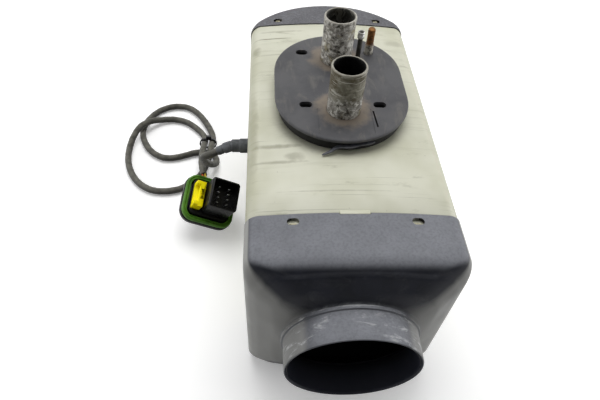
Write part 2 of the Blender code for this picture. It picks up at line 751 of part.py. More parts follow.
def intake_plan(inset, grow_front=0.0):
    """Plan outline of the intake hood: cheeks and one arc across the rear."""
    half = HOOD_HALF_WIDTH - inset
    cheek = INTAKE_CHEEK_HALF_WIDTH
    rise = INTAKE_APEX - INTAKE_CHEEK
    radius = (cheek ** 2 + rise ** 2) / (2 * rise)
    centre = along(INTAKE_APEX) - radius
    sweep = math.asin(cheek / radius)
    front = along(REAR_JOINT) - grow_front
    bow = arc(0, centre, radius - inset, math.pi / 2 - sweep, math.pi / 2 + sweep, 12)
    shoulder = bow[0][1] - INTAKE_CHEEK_ROUNDING
    soft = (half - 0.3 * (half - bow[0][0]), shoulder + 0.6 * INTAKE_CHEEK_ROUNDING)
    return ([(half, front), (half, shoulder), soft] + bow
            + [(-soft[0], soft[1]), (-half, shoulder), (-half, front)])


def intake_body(name, inset, grow_front):
    """Closed hood form: plan outline stacked with rounded edges, under the crowned section."""
    rounding = [(INTAKE_EDGE_RADIUS * (1 - math.cos(a)), INTAKE_EDGE_RADIUS * (1 - math.sin(a)))
                for a in (0.0, math.pi / 6, math.pi / 3, math.pi / 2)]
    past = 0.0004
    levels = ([(inset - past + rise, draw) for rise, draw in rounding]
              + [(HOOD_TOP + past - inset - rise, draw) for rise, draw in reversed(rounding)])
    rings = [[Vector((x, y, z)) for x, y in reversed(intake_plan(inset + draw, grow_front + 0.002))]
             for z, draw in levels]
    form = loft(name, rings, HOOD_PLASTIC)
    section = full_outline(HOOD_HALF_WIDTH, HOOD_TOP, CORNER_RADIUS, TOP_CROWN, inset)
    ends = (REAR_JOINT - grow_front, INTAKE_APEX + 0.01)
    envelope = loft(name + " section", [at_station(section, end) for end in ends], HOOD_PLASTIC)
    return combine(form, envelope, "INTERSECT")


def intake_hood():
    """Cold-air hood: bowed rear wall with a round spigot for the intake hose."""
    hood = intake_body("intake_hood", 0.0, 0.0)
    spigot = SPIGOT_DIAMETER / 2
    root = INTAKE_CHEEK + 0.0043
    fuse(hood, cylinder("intake spigot", spigot, root, TOTAL_LENGTH, axis_point()))
    hollow = intake_body("intake hollow", HOOD_WALL, 0.01)
    cut(hood, as_tool(hollow))
    bore = cylinder("intake bore", spigot - HOOD_WALL, root - 0.01, TOTAL_LENGTH + 0.01, axis_point())
    cut(hood, bore)
    return hood


def pipe_places():
    """X, station and radius of everything that stands through the flange seal."""
    return [(0.0, EXHAUST_AT, PIPE_RADIUS), (0.0, AIR_PIPE_AT, PIPE_RADIUS),
            (FUEL_PIPE_X, FUEL_PIPE_AT, FUEL_PIPE_RADIUS)]


def stud_places():
    """X and station of the four stud holes."""
    return [(side * STUD_X, station) for station in (STUD_FRONT, STUD_REAR) for side in (-1, 1)]


def flange_seal():
    """Rubber cap over the mounting foot: a thick rim band above a narrower base."""
    holes = [circle(x, along(station), radius + FIT_GAP, ROUND_STEPS if radius > 0.005 else HOLE_STEPS)
             for x, station, radius in pipe_places()]
    holes += [circle(x, along(station), STUD_HOLE_RADIUS, HOLE_STEPS) for x, station in stud_places()]
    band_middle = Matrix.Translation((0, 0, SEAL_TOP - SEAL_BAND / 2))
    seal = plate("flange_seal", [stadium(SEAL_RADIUS, FOOT_FRONT_CENTRE, FOOT_REAR_CENTRE)] + holes,
                 SEAL_BAND, SEAL_RUBBER, band_middle)
    bottom = BODY_HEIGHT + FIT_GAP
    top = SEAL_TOP - SEAL_BAND / 2
    base = plate("seal base", [stadium(SEAL_BASE_RADIUS, FOOT_FRONT_CENTRE, FOOT_REAR_CENTRE),
                               stadium(FOOT_RADIUS + SEAL_FIT, FOOT_FRONT_CENTRE, FOOT_REAR_CENTRE)],
                 top - bottom, SEAL_RUBBER, Matrix.Translation((0, 0, (top + bottom) / 2)))
    return fuse(seal, base)


def foot_block(name, outline, bottom):
    """One half of the mounting foot."""
    frame = Matrix.Translation((0, 0, (FOOT_TOP + bottom) / 2))
    return plate(name, [outline], FOOT_TOP - bottom, CAST_ALUMINIUM, frame)


def upright(name, x, station, radius, low, high, steps=SMALL_STEPS):
    """Vertical cylinder at a place on the foot."""
    return cylinder(name, radius, low, high, (x, along(station), 0), (0, 0, 1), steps)


def gear_outline(root, tip, count, root_share, tip_share):
    """Section with thin straight fins round a core, counter-clockwise as seen from the outlet."""
    points = []
    pitch = math.tau / count
    for i in range(count):
        middle = i * pitch
        for radius, share in ((root, -root_share), (tip, -tip_share), (tip, tip_share), (root, root_share)):
            angle = middle + share * pitch / 2
            points.append((radius * math.cos(angle), AXIS_HEIGHT + radius * math.sin(angle)))
    return points


def heat_exchanger():
    """Cast cup with fins outside, a smooth gas bore inside, a bolting flange and half of the foot."""
    stations = [
        (EXCHANGER_FRONT, EXCHANGER_NOSE_RADIUS, EXCHANGER_NOSE_RADIUS + 0.007),
        (EXCHANGER_FRONT + 0.007, EXCHANGER_CORE_RADIUS - 0.006, FIN_RADIUS - 0.005),
        (EXCHANGER_FRONT + 0.015, EXCHANGER_CORE_RADIUS, FIN_RADIUS),
        (EXCHANGER_REAR - FLANGE_THICKNESS + 0.0010, EXCHANGER_CORE_RADIUS, FIN_RADIUS),
    ]
    rings = [at_station(gear_outline(core, fin, FIN_COUNT, FIN_ROOT_SHARE, FIN_TIP_SHARE), station)
             for station, core, fin in stations]
    body = loft("heat_exchanger", rings, CAST_ALUMINIUM)
    flange = cylinder("exchanger flange", FLANGE_RADIUS, EXCHANGER_REAR - FLANGE_THICKNESS, EXCHANGER_REAR,
                      axis_point())
    fuse(body, flange)
    split = along(FOOT_SPLIT) - FIT_GAP / 2
    outline = ([(FOOT_RADIUS, split), (-FOOT_RADIUS, split)]
               + arc(0, along(FOOT_FRONT_CENTRE), FOOT_RADIUS, math.pi, math.tau, FOOT_STEPS))
    fuse(body, foot_block("exchanger foot", outline, AXIS_HEIGHT + 0.8 * EXCHANGER_BORE_RADIUS))
    bore = turned("gas bore", [(0, EXCHANGER_REAR + 0.002), (EXCHANGER_BORE_RADIUS, EXCHANGER_REAR + 0.002),
                               (EXCHANGER_BORE_RADIUS, EXCHANGER_FRONT + 0.020),
                               (EXCHANGER_NOSE_RADIUS, EXCHANGER_FRONT + 0.008),
                               (0, EXCHANGER_FRONT + 0.008)], CAST_ALUMINIUM, axis_point())
    cut(body, bore)
    seat = upright("exhaust seat", 0, EXHAUST_AT, PIPE_RADIUS + FIT_GAP, FOOT_TOP - PIPE_SEAT_DEPTH,
                   FOOT_TOP + 0.002, ROUND_STEPS)
    cut(body, seat)
    passage = upright("exhaust passage", 0, EXHAUST_AT, PIPE_RADIUS - PIPE_WALL - FIT_GAP,
                      AXIS_HEIGHT + CHAMBER_RADIUS + 0.004, FOOT_TOP - 0.001, ROUND_STEPS)
    cut(body, passage)
    for x, station in stud_places()[:2]:
        cut(body, upright(f"front stud hole {x:+.3f}", x, station, STUD_SEAT_RADIUS + FIT_GAP,
                          FOOT_TOP - STUD_SEAT_DEPTH, FOOT_TOP + 0.002))
    for number, (x, z) in enumerate(screw_circle(4, BURNER_SCREW_CIRCLE, math.pi / 4), 1):
        cut(body, cylinder(f"burner thread {number}", BURNER_SCREW_RADIUS + FIT_GAP,
                           EXCHANGER_REAR - BURNER_SCREW_DEPTH - FIT_GAP, EXCHANGER_REAR + 0.002,
                           (x, along(0), z), FORWARD, SMALL_STEPS))
    return body


def screw_circle(count, radius, turn):
    """X and Z of screws on a circle round the machine axis."""
    return [(radius * math.cos(turn + i * math.tau / count),
             AXIS_HEIGHT + radius * math.sin(turn + i * math.tau / count)) for i in range(count)]


def glow_plug_axis():
    """Start of the glow plug's axis, beside the machine axis."""
    return Vector((GLOW_PLUG_X, along(0), AXIS_HEIGHT + GLOW_PLUG_RISE))


def burner():
    """Combustion tube with its rear disc, evaporator screen, glow plug and gasket."""
    disc_rear = BLOWER_FACE - FIT_GAP
    disc_front = disc_rear - CHAMBER_DISC_THICKNESS
    disc_radius = EXCHANGER_BORE_RADIUS - FIT_GAP
    inner = CHAMBER_RADIUS - CHAMBER_WALL
    chamber = turned("combustion_chamber", [
        (0, disc_rear), (disc_radius, disc_rear), (disc_radius, disc_front), (CHAMBER_RADIUS, disc_front),
        (CHAMBER_RADIUS, CHAMBER_FRONT), (inner, CHAMBER_FRONT), (inner, disc_front), (0, disc_front)],
        HEAT_STEEL, axis_point())
    cut(chamber, cylinder("glow plug hole", GLOW_PLUG_HOLE, disc_front - 0.002, disc_rear + 0.002,
                          glow_plug_axis(), FORWARD, HOLE_STEPS))
    cut(chamber, cylinder("air hole", DELIVERY_RADIUS, disc_front - 0.002, disc_rear + 0.002,
                          (DELIVERY_X, along(0), AXIS_HEIGHT), FORWARD, SMALL_STEPS))
    middle = (CHAMBER_FRONT + disc_front) / 2
    for i in range(CHAMBER_HOLE_COUNT // 2):
        angle = math.tau * (i + 0.5) / CHAMBER_HOLE_COUNT
        station = middle + (CHAMBER_HOLE_SPREAD if i % 2 else -CHAMBER_HOLE_SPREAD)
        cut(chamber, cylinder(f"flame hole {i + 1}", CHAMBER_HOLE_RADIUS, -CHAMBER_RADIUS * 1.2,
                              CHAMBER_RADIUS * 1.2, axis_point(station),
                              (math.cos(angle), 0, math.sin(angle)), 6))
    screen_rear = disc_front - FIT_GAP
    turned("evaporator_screen", [(0, screen_rear), (SCREEN_RADIUS, screen_rear),
                                 (SCREEN_RADIUS, screen_rear - SCREEN_THICKNESS),
                                 (0, screen_rear - SCREEN_THICKNESS)], HEAT_STEEL, axis_point(), FORWARD,
           SMALL_STEPS)
    head_front = BLOWER_FACE
    turned("glow_plug", [
        (0, GLOW_PLUG_REAR), (0.0022, GLOW_PLUG_REAR), (0.0022, head_front + 0.0045),
        (GLOW_PLUG_HEAD, head_front + 0.0045), (GLOW_PLUG_HEAD, head_front), (GLOW_PLUG_RADIUS, head_front),
        (GLOW_PLUG_RADIUS, disc_front - 0.006), (GLOW_PLUG_TIP_RADIUS, disc_front - 0.007),
        (GLOW_PLUG_TIP_RADIUS, GLOW_PLUG_TIP + 0.001), (0.001, GLOW_PLUG_TIP), (0, GLOW_PLUG_TIP)],
        BRIGHT_STEEL, glow_plug_axis(), steps=HOLE_STEPS)
    start = EXCHANGER_REAR + FIT_GAP
    gasket = turned("burner_gasket", ring_profile(EXCHANGER_BORE_RADIUS, FLANGE_RADIUS - 0.0005, start,
                                                  start + GASKET_THICKNESS),
                    GASKET_FIBRE, axis_point(), closed=True)
    length = 2 * GASKET_THICKNESS
    for number, (x, z) in enumerate(screw_circle(4, BURNER_SCREW_CIRCLE, math.pi / 4), 1):
        cut(gasket, cylinder(f"gasket hole {number}", BURNER_SCREW_RADIUS + FIT_GAP, start - length,
                             start + length, (x, along(0), z), FORWARD, SMALL_STEPS))


def blower_housing():
    """Cast fan housing behind the burner, with the air-side half of the foot."""
    housing = turned("blower_housing", [
        (0, BLOWER_REAR), (BLOWER_RADIUS, BLOWER_REAR), (BLOWER_RADIUS, BLOWER_FLANGE_REAR),
        (FLANGE_RADIUS, BLOWER_FLANGE_REAR), (FLANGE_RADIUS, BLOWER_FACE), (0, BLOWER_FACE)],
        CAST_ALUMINIUM, axis_point())
    neck = block("blower neck", (BLOWER_NECK_X[0], along(AIR_PIPE_AT + BLOWER_NECK_SPAN[0]),
                                  AXIS_HEIGHT + 0.6 * BLOWER_RADIUS),
                 (BLOWER_NECK_X[1], along(AIR_PIPE_AT + BLOWER_NECK_SPAN[1]), FOOT_TOP - FUEL_PIPE_RADIUS))
    fuse(housing, neck)
    split = along(FOOT_SPLIT) + FIT_GAP / 2
    outline = ([(-FOOT_RADIUS, split), (FOOT_RADIUS, split)]
               + arc(0, along(FOOT_REAR_CENTRE), FOOT_RADIUS, 0, math.pi, FOOT_STEPS))
    fuse(housing, foot_block("blower foot", outline, AXIS_HEIGHT + FIN_RADIUS + 0.002))
    pad_front, pad_rear = (along(station) for station in CONTROL_PAD_STATIONS)
    pad = block("control pad", (-CONTROL_PAD_HALF_WIDTH, pad_front, AXIS_HEIGHT - BLOWER_RADIUS),
                (CONTROL_PAD_HALF_WIDTH, pad_rear, AXIS_HEIGHT - 0.9 * BLOWER_RADIUS))
    fuse(housing, pad)
    cut(housing, cylinder("impeller chamber", IMPELLER_CHAMBER_RADIUS, IMPELLER_CHAMBER_FRONT,
                          BLOWER_REAR + 0.002, axis_point()))
    cut(housing, cylinder("suction chamber", SUCTION_RADIUS, SUCTION_FRONT, IMPELLER_CHAMBER_FRONT + 0.001,
                          axis_point()))
    cut(housing, upright("air pipe seat", 0, AIR_PIPE_AT, PIPE_RADIUS + FIT_GAP,
                         FOOT_TOP - PIPE_SEAT_DEPTH, FOOT_TOP + 0.002, ROUND_STEPS))
    cut(housing, upright("air passage", 0, AIR_PIPE_AT, PIPE_RADIUS - PIPE_WALL - FIT_GAP - 0.001,
                         AXIS_HEIGHT + 0.006, FOOT_TOP - 0.001, ROUND_STEPS))
    cut(housing, upright("fuel pipe seat", FUEL_PIPE_X, FUEL_PIPE_AT, FUEL_PIPE_RADIUS + FIT_GAP / 2,
                         FOOT_TOP - PIPE_SEAT_DEPTH, FOOT_TOP + 0.002, HOLE_STEPS))
    for x, station in stud_places()[2:]:
        cut(housing, upright(f"rear stud hole {x:+.3f}", x, station, STUD_SEAT_RADIUS + FIT_GAP,
                             FOOT_TOP - STUD_SEAT_DEPTH, FOOT_TOP + 0.002))
    cut(housing, cylinder("glow plug pocket", GLOW_PLUG_HEAD + 0.0008, BLOWER_FACE - 0.002,
                          GLOW_PLUG_REAR + 0.0006, glow_plug_axis(), FORWARD, HOLE_STEPS))
    cut(housing, cylinder("delivery hole", DELIVERY_RADIUS, BLOWER_FACE - 0.002,
                          IMPELLER_CHAMBER_FRONT + 0.001, (DELIVERY_X, along(0), AXIS_HEIGHT), FORWARD,
                          SMALL_STEPS))
    for number, (x, z) in enumerate(screw_circle(4, BURNER_SCREW_CIRCLE, math.pi / 4), 1):
        cut(housing, cylinder(f"flange hole {number}", BURNER_SCREW_RADIUS + FIT_GAP, BLOWER_FACE - 0.002,
                              BLOWER_FLANGE_REAR + 0.002, (x, along(0), z), FORWARD, SMALL_STEPS))
    for number, (x, z) in enumerate(screw_circle(3, MOTOR_SCREW_CIRCLE, math.pi / 2), 1):
        cut(housing, cylinder(f"motor thread {number}", MOTOR_SCREW_RADIUS + FIT_GAP,
                              BLOWER_REAR - MOTOR_SCREW_DEPTH - FIT_GAP, BLOWER_REAR + 0.002,
                              (x, along(0), z), FORWARD, SMALL_STEPS))
    for number, station in enumerate(CONTROL_SCREW_STATIONS, 1):
        cut(housing, upright(f"control thread {number}", 0, station, CONTROL_SCREW_RADIUS + FIT_GAP,
                             CONTROL_TOP - 0.002, CONTROL_TOP + FIT_GAP + CONTROL_SCREW_DEPTH))
    return housing


def vane_outline(hub, tip, count, thickness, sweep, steps=2):
    """Outline of a hub with curved vanes, in the plane of rotation."""
    points = []
    for i in range(count):
        start = i * math.tau / count
        edges = []
        for k in range(steps + 1):
            radius = hub + (tip - hub) * k / steps
            lead = start + sweep * k / steps
            half = thickness / 2 / radius
            edges.append((radius, lead - half, lead + half))
        points += [(r * math.cos(a), r * math.sin(a)) for r, a, _ in edges]
        points += [(r * math.cos(b), r * math.sin(b)) for r, _, b in reversed(edges)]
    return points


def across_axis(station):
    """Frame whose XY plane lies across the machine axis at a station."""
    return Matrix.Translation(axis_point(station)) @ Matrix.Rotation(-math.pi / 2, 4, "X")


def combustion_impeller():
    """Radial wheel with curved vanes on a back plate."""
    front = IMPELLER_CHAMBER_FRONT + 0.0015
    rear = front + IMPELLER_DEPTH
    plate_thickness = 0.0015
    outline = vane_outline(0.0085, IMPELLER_RADIUS - 0.0004, IMPELLER_BLADES, 0.0012, math.radians(28))
    wheel = plate("combustion_impeller", [outline, circle(0, 0, SHAFT_RADIUS + FIT_GAP, HOLE_STEPS)],
                  rear - front, BLACK_PLASTIC, across_axis((front + rear) / 2))
    back = turned("impeller back plate",
                  ring_profile(SHAFT_RADIUS + 2 * FIT_GAP, IMPELLER_RADIUS, rear - FIT_GAP,
                               rear + plate_thickness),
                  BLACK_PLASTIC, axis_point(), closed=True)
    return fuse(wheel, back)


def motor():
    """Can motor: bearing cover, can, stator, rotor magnet, shaft and two bearings."""
    seat = BEARING_RADIUS + BEARING_SEAT
    boss = BEARING_RADIUS + 0.0025
    cover_rear = COVER_FACE + COVER_THICKNESS
    boss_rear = cover_rear + 0.0022
    seat_start = COVER_FACE + 0.0010
    cover = turned("blower_cover", [
        (seat, boss_rear), (boss, boss_rear), (boss, cover_rear), (BLOWER_RADIUS, cover_rear),
        (BLOWER_RADIUS, COVER_FACE), (SHAFT_HOLE, COVER_FACE), (SHAFT_HOLE, seat_start), (seat, seat_start)],
        CAST_ALUMINIUM, axis_point(), closed=True)
    inner = MOTOR_RADIUS - MOTOR_WALL
    wall_front = MOTOR_REAR - MOTOR_WALL
    seat_end = MOTOR_REAR - 0.0010
    boss_front = seat_end - BEARING_WIDTH - FIT_GAP
    can = turned("motor_can", [
        (SHAFT_HOLE, MOTOR_REAR), (MOTOR_RADIUS, MOTOR_REAR), (MOTOR_RADIUS, MOTOR_FLANGE_REAR),
        (BLOWER_RADIUS, MOTOR_FLANGE_REAR), (BLOWER_RADIUS, MOTOR_FACE), (inner, MOTOR_FACE),
        (inner, wall_front), (boss, wall_front), (boss, boss_front), (seat, boss_front), (seat, seat_end),
        (SHAFT_HOLE, seat_end)], BRIGHT_STEEL, axis_point(), closed=True)
    for number, (x, z) in enumerate(screw_circle(3, MOTOR_SCREW_CIRCLE, math.pi / 2), 1):
        for piece, start, end in ((cover, COVER_FACE, cover_rear), (can, MOTOR_FACE, MOTOR_FLANGE_REAR)):
            cut(piece, cylinder(f"{piece.name} hole {number}", MOTOR_SCREW_RADIUS + FIT_GAP, start - 0.001,
                                end + 0.001, (x, along(0), z), FORWARD, SMALL_STEPS))
    ring = ring_profile(SHAFT_RADIUS + BEARING_SEAT, BEARING_RADIUS, 0, BEARING_WIDTH)
    turned("front_bearing", ring, BRIGHT_STEEL, axis_point(seat_start + FIT_GAP), steps=BEARING_STEPS,
           closed=True)
    turned("rear_bearing", ring, BRIGHT_STEEL, axis_point(boss_front), steps=BEARING_STEPS, closed=True)
    stator_front = boss_rear + 0.0035
    stator_middle = stator_front + STATOR_LENGTH / 2
    tooth = gear_outline(STATOR_BORE + 0.0075, STATOR_BORE, STATOR_TEETH, 0.55, 0.80)
    slots = [(x, z - AXIS_HEIGHT) for x, z in tooth]
    plate("stator", [circle(0, 0, inner - FIT_GAP, ROUND_STEPS), slots], STATOR_LENGTH, LAMINATION,
          across_axis(stator_middle))
    turned("rotor_magnet", ring_profile(SHAFT_RADIUS + BEARING_SEAT, ROTOR_RADIUS, 0, ROTOR_LENGTH), MAGNET,
           axis_point(stator_middle - ROTOR_LENGTH / 2), steps=BEARING_STEPS, closed=True)
    turned("motor_shaft", rod_profile(SHAFT_RADIUS, SHAFT_FRONT, SHAFT_REAR, 0.0005), BRIGHT_STEEL,
           axis_point(), FORWARD, HOLE_STEPS)


def fan_blade(name, turn):
    """Twisted blade of the warm-air fan, its root sunk in the hub."""
    rings = []
    middle = along(FAN_FRONT + FAN_DEPTH / 2)
    for share in (0.0, 0.5, 1.0):
        radius = FAN_HUB_RADIUS - 0.0012 + (FAN_RADIUS - FAN_HUB_RADIUS + 0.0012) * share
        chord = 0.011 + 0.008 * share
        pitch = FAN_BLADE_PITCH + math.radians(16) * (1 - share)
        half = FAN_BLADE_THICKNESS / 2
        ring = []
        for along_chord, offset in ((-0.5, -half), (0.0, -half + 0.0012), (0.5, -half),
                                    (0.5, half), (0.0, half + 0.0012), (-0.5, half)):
            u = along_chord * chord
            tangent = u * math.cos(pitch) - offset * math.sin(pitch)
            axial = u * math.sin(pitch) + offset * math.cos(pitch)
            angle = turn + tangent / radius
            ring.append(Vector((radius * math.cos(angle), middle + axial,
                                AXIS_HEIGHT + radius * math.sin(angle))))
        rings.append(ring)
    blade = loft(name, rings, BLACK_PLASTIC)
    bm = bmesh.new()
    bm.from_mesh(blade.data)
    bmesh.ops.recalc_face_normals(bm, faces=bm.faces)
    bm.to_mesh(blade.data)
    bm.free()
    return blade


def fan_wheel():
    """Axial fan for the warm air: cup hub on the shaft and twisted blades."""
    rear = FAN_FRONT + FAN_DEPTH
    bore = SHAFT_RADIUS + FIT_GAP
    wall = 0.0018
    hub = turned("fan_wheel", [
        (bore, rear), (FAN_HUB_RADIUS - 0.003, rear), (FAN_HUB_RADIUS, rear - 0.003),
        (FAN_HUB_RADIUS, FAN_FRONT), (FAN_HUB_RADIUS - wall, FAN_FRONT),
        (FAN_HUB_RADIUS - wall, rear - 0.0045),
        (bore + 0.003, rear - 0.0045), (bore + 0.003, FAN_FRONT + 0.0005), (bore, FAN_FRONT + 0.0005)],
        BLACK_PLASTIC, axis_point(), steps=BEARING_STEPS, closed=True)
    for i in range(FAN_BLADES):
        fuse(hub, fan_blade(f"fan blade {i + 1}", i * math.tau / FAN_BLADES))
    return hub


def intake_grille():
    """Clip-in grille in the mouth of the intake spigot: three rings on six spokes."""
    outer = SPIGOT_DIAMETER / 2 - HOOD_WALL - FIT_GAP
    middle = TOTAL_LENGTH - GRILLE_DEPTH - GRILLE_THICKNESS / 2
    grille = turned("intake_grille", ring_profile(outer - 0.0025, outer, -GRILLE_THICKNESS / 2,
                                                  GRILLE_THICKNESS / 2),
                    BLACK_PLASTIC, axis_point(middle), closed=True)
    for number, radius in enumerate((outer * 0.66, outer * 0.34), 1):
        ring = turned(f"grille ring {number}", ring_profile(radius - GRILLE_BAR / 2, radius + GRILLE_BAR / 2,
                                                            -GRILLE_THICKNESS * 0.4, GRILLE_THICKNESS * 0.4),
                      BLACK_PLASTIC, axis_point(middle), steps=BEARING_STEPS, closed=True)
        fuse(grille, ring)
    for i in range(3):
        turn = Matrix.Rotation(i * math.pi / 3 + 0.01, 4, "Y")
        reach = outer - 0.001
        spoke = block(f"grille spoke {i + 1}", (-reach, -GRILLE_THICKNESS * 0.35, -GRILLE_BAR / 2),
                      (reach, GRILLE_THICKNESS * 0.35, GRILLE_BAR / 2),
                      frame=Matrix.Translation(axis_point(middle)) @ turn)
        fuse(grille, spoke)
    return grille


def pipes_and_stud():
    """Exhaust and combustion-air pipes, fuel pipe with its ferrule, and the one stud that is fitted."""
    seat = FOOT_TOP - PIPE_SEAT_DEPTH + FIT_GAP
    for name, station in (("exhaust_pipe", EXHAUST_AT), ("combustion_air_pipe", AIR_PIPE_AT)):
        turned(name, ring_profile(PIPE_RADIUS - PIPE_WALL, PIPE_RADIUS, seat, PIPE_TOP), PIPE_STEEL,
               (0, along(station), 0), (0, 0, 1), closed=True)
    fuel_axis = (FUEL_PIPE_X, along(FUEL_PIPE_AT), 0)
    turned("fuel_pipe", ring_profile(FUEL_PIPE_BORE, FUEL_PIPE_RADIUS, seat, FUEL_PIPE_TOP - 0.0003),
           PIPE_STEEL, fuel_axis, (0, 0, 1), 14, closed=True)
    turned("fuel_pipe_ferrule", ring_profile(FUEL_PIPE_RADIUS + FIT_GAP / 2, FERRULE_RADIUS,
                                             FUEL_PIPE_TOP - FERRULE_LENGTH, FUEL_PIPE_TOP),
           BRIGHT_STEEL, fuel_axis, (0, 0, 1), 16, closed=True)
    foot = FOOT_TOP - STUD_SEAT_DEPTH + FIT_GAP
    turned("mounting_stud", [
        (0, STUD_TOP), (STUD_RADIUS - 0.0006, STUD_TOP), (STUD_RADIUS, STUD_TOP - 0.0006),
        (STUD_RADIUS, STUD_COLLAR_TOP), (STUD_COLLAR_RADIUS, STUD_COLLAR_TOP),
        (STUD_COLLAR_RADIUS, FOOT_TOP + FIT_GAP), (STUD_SEAT_RADIUS, FOOT_TOP + FIT_GAP),
        (STUD_SEAT_RADIUS, foot),
        (0, foot)], RUSTY_STEEL, (STUD_X, along(STUD_REAR), 0), (0, 0, 1), HOLE_STEPS)


def screw(name, radius, head_radius, length, centre, direction):
    """Pan-head screw whose head sits at the centre and whose shank points against the direction."""
    turned(name, [(0, SCREW_HEAD_HEIGHT), (head_radius * 0.7, SCREW_HEAD_HEIGHT),
                  (head_radius, SCREW_HEAD_HEIGHT * 0.5), (head_radius, 0), (radius, 0), (radius, -length),
                  (0, -length)], BRIGHT_STEEL, centre, direction, SMALL_STEPS)


def screws():
    """Screws that hold the burner to the blower, the motor to the blower and the control unit."""
    seat = BLOWER_FLANGE_REAR + FIT_GAP
    length = seat - EXCHANGER_REAR + BURNER_SCREW_DEPTH
    for number, (x, z) in enumerate(screw_circle(4, BURNER_SCREW_CIRCLE, math.pi / 4), 1):
        screw(f"burner_screw_{number}", BURNER_SCREW_RADIUS, 0.0036, length, (x, along(seat), z), FORWARD)
    seat = MOTOR_FLANGE_REAR + FIT_GAP
    length = seat - BLOWER_REAR + MOTOR_SCREW_DEPTH
    for number, (x, z) in enumerate(screw_circle(3, MOTOR_SCREW_CIRCLE, math.pi / 2), 1):
        screw(f"motor_screw_{number}", MOTOR_SCREW_RADIUS, MOTOR_SCREW_HEAD, length, (x, along(seat), z),
              FORWARD)
    seat = CONTROL_TOP - CONTROL_WALL - FIT_GAP
    length = CONTROL_WALL + 2 * FIT_GAP + CONTROL_SCREW_DEPTH - FIT_GAP
    for number, station in enumerate(CONTROL_SCREW_STATIONS, 1):
        screw(f"control_screw_{number}", CONTROL_SCREW_RADIUS, 0.0029, length, (0, along(station), seat),
              (0, 0, -1))


def control_unit():
    """Flat control unit under the blower: housing, lid with two ribs, and circuit board."""
    half, front, rear = CONTROL_HALF_WIDTH, along(CONTROL_FRONT), along(CONTROL_REAR)
    split = CONTROL_BOTTOM + CONTROL_COVER_HEIGHT
    wall = CONTROL_WALL
    housing = block("control_housing", (-half, front, split + FIT_GAP), (half, rear, CONTROL_TOP),
                    bevel=0.002)
    cut(housing, block("control cavity", (-half + wall, front + wall, CONTROL_BOTTOM),
                       (half - wall, rear - wall, CONTROL_TOP - wall)))
    for number, station in enumerate(CONTROL_SCREW_STATIONS, 1):
        cut(housing, upright(f"control hole {number}", 0, station, CONTROL_SCREW_RADIUS + FIT_GAP,
                             CONTROL_TOP - 2 * wall, CONTROL_TOP + 0.002))
    lid = block("control_cover", (-half, front, CONTROL_BOTTOM), (half, rear, split), bevel=0.002)
    cut(lid, block("lid cavity", (-half + wall, front + wall, CONTROL_BOTTOM + wall),
                   (half - wall, rear - wall, CONTROL_TOP)))
    board_low = split + 0.0015
    for number, side in enumerate((-1, 1), 1):
        x = side * (half - 0.010)
        fuse(lid, block(f"board rib {number}", (x - 0.001, front + 0.012, CONTROL_BOTTOM + wall / 2),
                        (x + 0.001, rear - 0.012, board_low - FIT_GAP)))
    inset = wall + 0.0015
    block("circuit_board", (-half + inset, front + inset, board_low),
          (half - inset, rear - inset, board_low + BOARD_THICKNESS), BOARD_LAMINATE)


def overheat_sensor():
    """Round sensor on the flat nose of the heat exchanger, held by a sprung strip."""
    nose = along(EXCHANGER_FRONT)
    centre_y = nose - SENSOR_RADIUS - FIT_GAP
    turned("overheat_sensor", rod_profile(SENSOR_RADIUS, -SENSOR_LENGTH / 2, SENSOR_LENGTH / 2, 0.0005),
           BRIGHT_STEEL, (0, centre_y, AXIS_HEIGHT), (1, 0, 0), BEARING_STEPS)
    inner = SENSOR_RADIUS + FIT_GAP
    outer = inner + CLIP_THICKNESS
    leg = nose - FIT_GAP
    turn_in = math.asin((leg - CLIP_THICKNESS / 2 - centre_y) / (outer + inner) * 2)
    leg_far = 0.013

    def bow(radius, sign):
        return [(radius * math.cos(a), centre_y - radius * math.sin(a))
                for a in np.linspace(-turn_in, math.pi + turn_in, 15)][::sign]

    outside = bow(outer, 1)
    inside = bow(inner, -1)
    outside[0] = (outside[0][0] + CLIP_THICKNESS / 2, leg - CLIP_THICKNESS)
    outside[-1] = (-outside[0][0], leg - CLIP_THICKNESS)
    inside[0] = (inside[0][0], leg)
    inside[-1] = (-inside[0][0], leg)
    outline = ([(leg_far, leg), (leg_far, leg - CLIP_THICKNESS)] + outside
               + [(-leg_far, leg - CLIP_THICKNESS), (-leg_far, leg)] + inside)
    frame = (Matrix.Translation((0, 0, AXIS_HEIGHT)) @ Matrix.Rotation(math.pi / 2, 4, "Y"))
    plate("sensor_clip", [outline], CLIP_WIDTH, BRIGHT_STEEL, frame)


def side_cover(mounting, cover):
    """Cover plate on the left side that carries the cable gland, let into both shells."""
    outer = -BODY_HALF_WIDTH - SIDE_COVER_PROUD
    low = Vector((outer, along(SIDE_COVER_FRONT), AXIS_HEIGHT - SIDE_COVER_HALF_HEIGHT))
    high = Vector((outer + SIDE_COVER_THICKNESS, along(SIDE_COVER_REAR),
                   AXIS_HEIGHT + SIDE_COVER_HALF_HEIGHT))
    piece = block("side_cover", low, high, HOOD_PLASTIC, bevel=0.0006)
    gap = Vector((0.01, FIT_GAP, FIT_GAP))
    for shell in (mounting, cover):
        cut(shell, block(f"{shell.name} side opening", low - gap, high + gap))
    cut(piece, cylinder("gland hole", GLAND_NECK + FIT_GAP, -0.01, 0.01,
                        (outer, along(GLAND_AT), AXIS_HEIGHT), (1, 0, 0), HOLE_STEPS))
    return outer


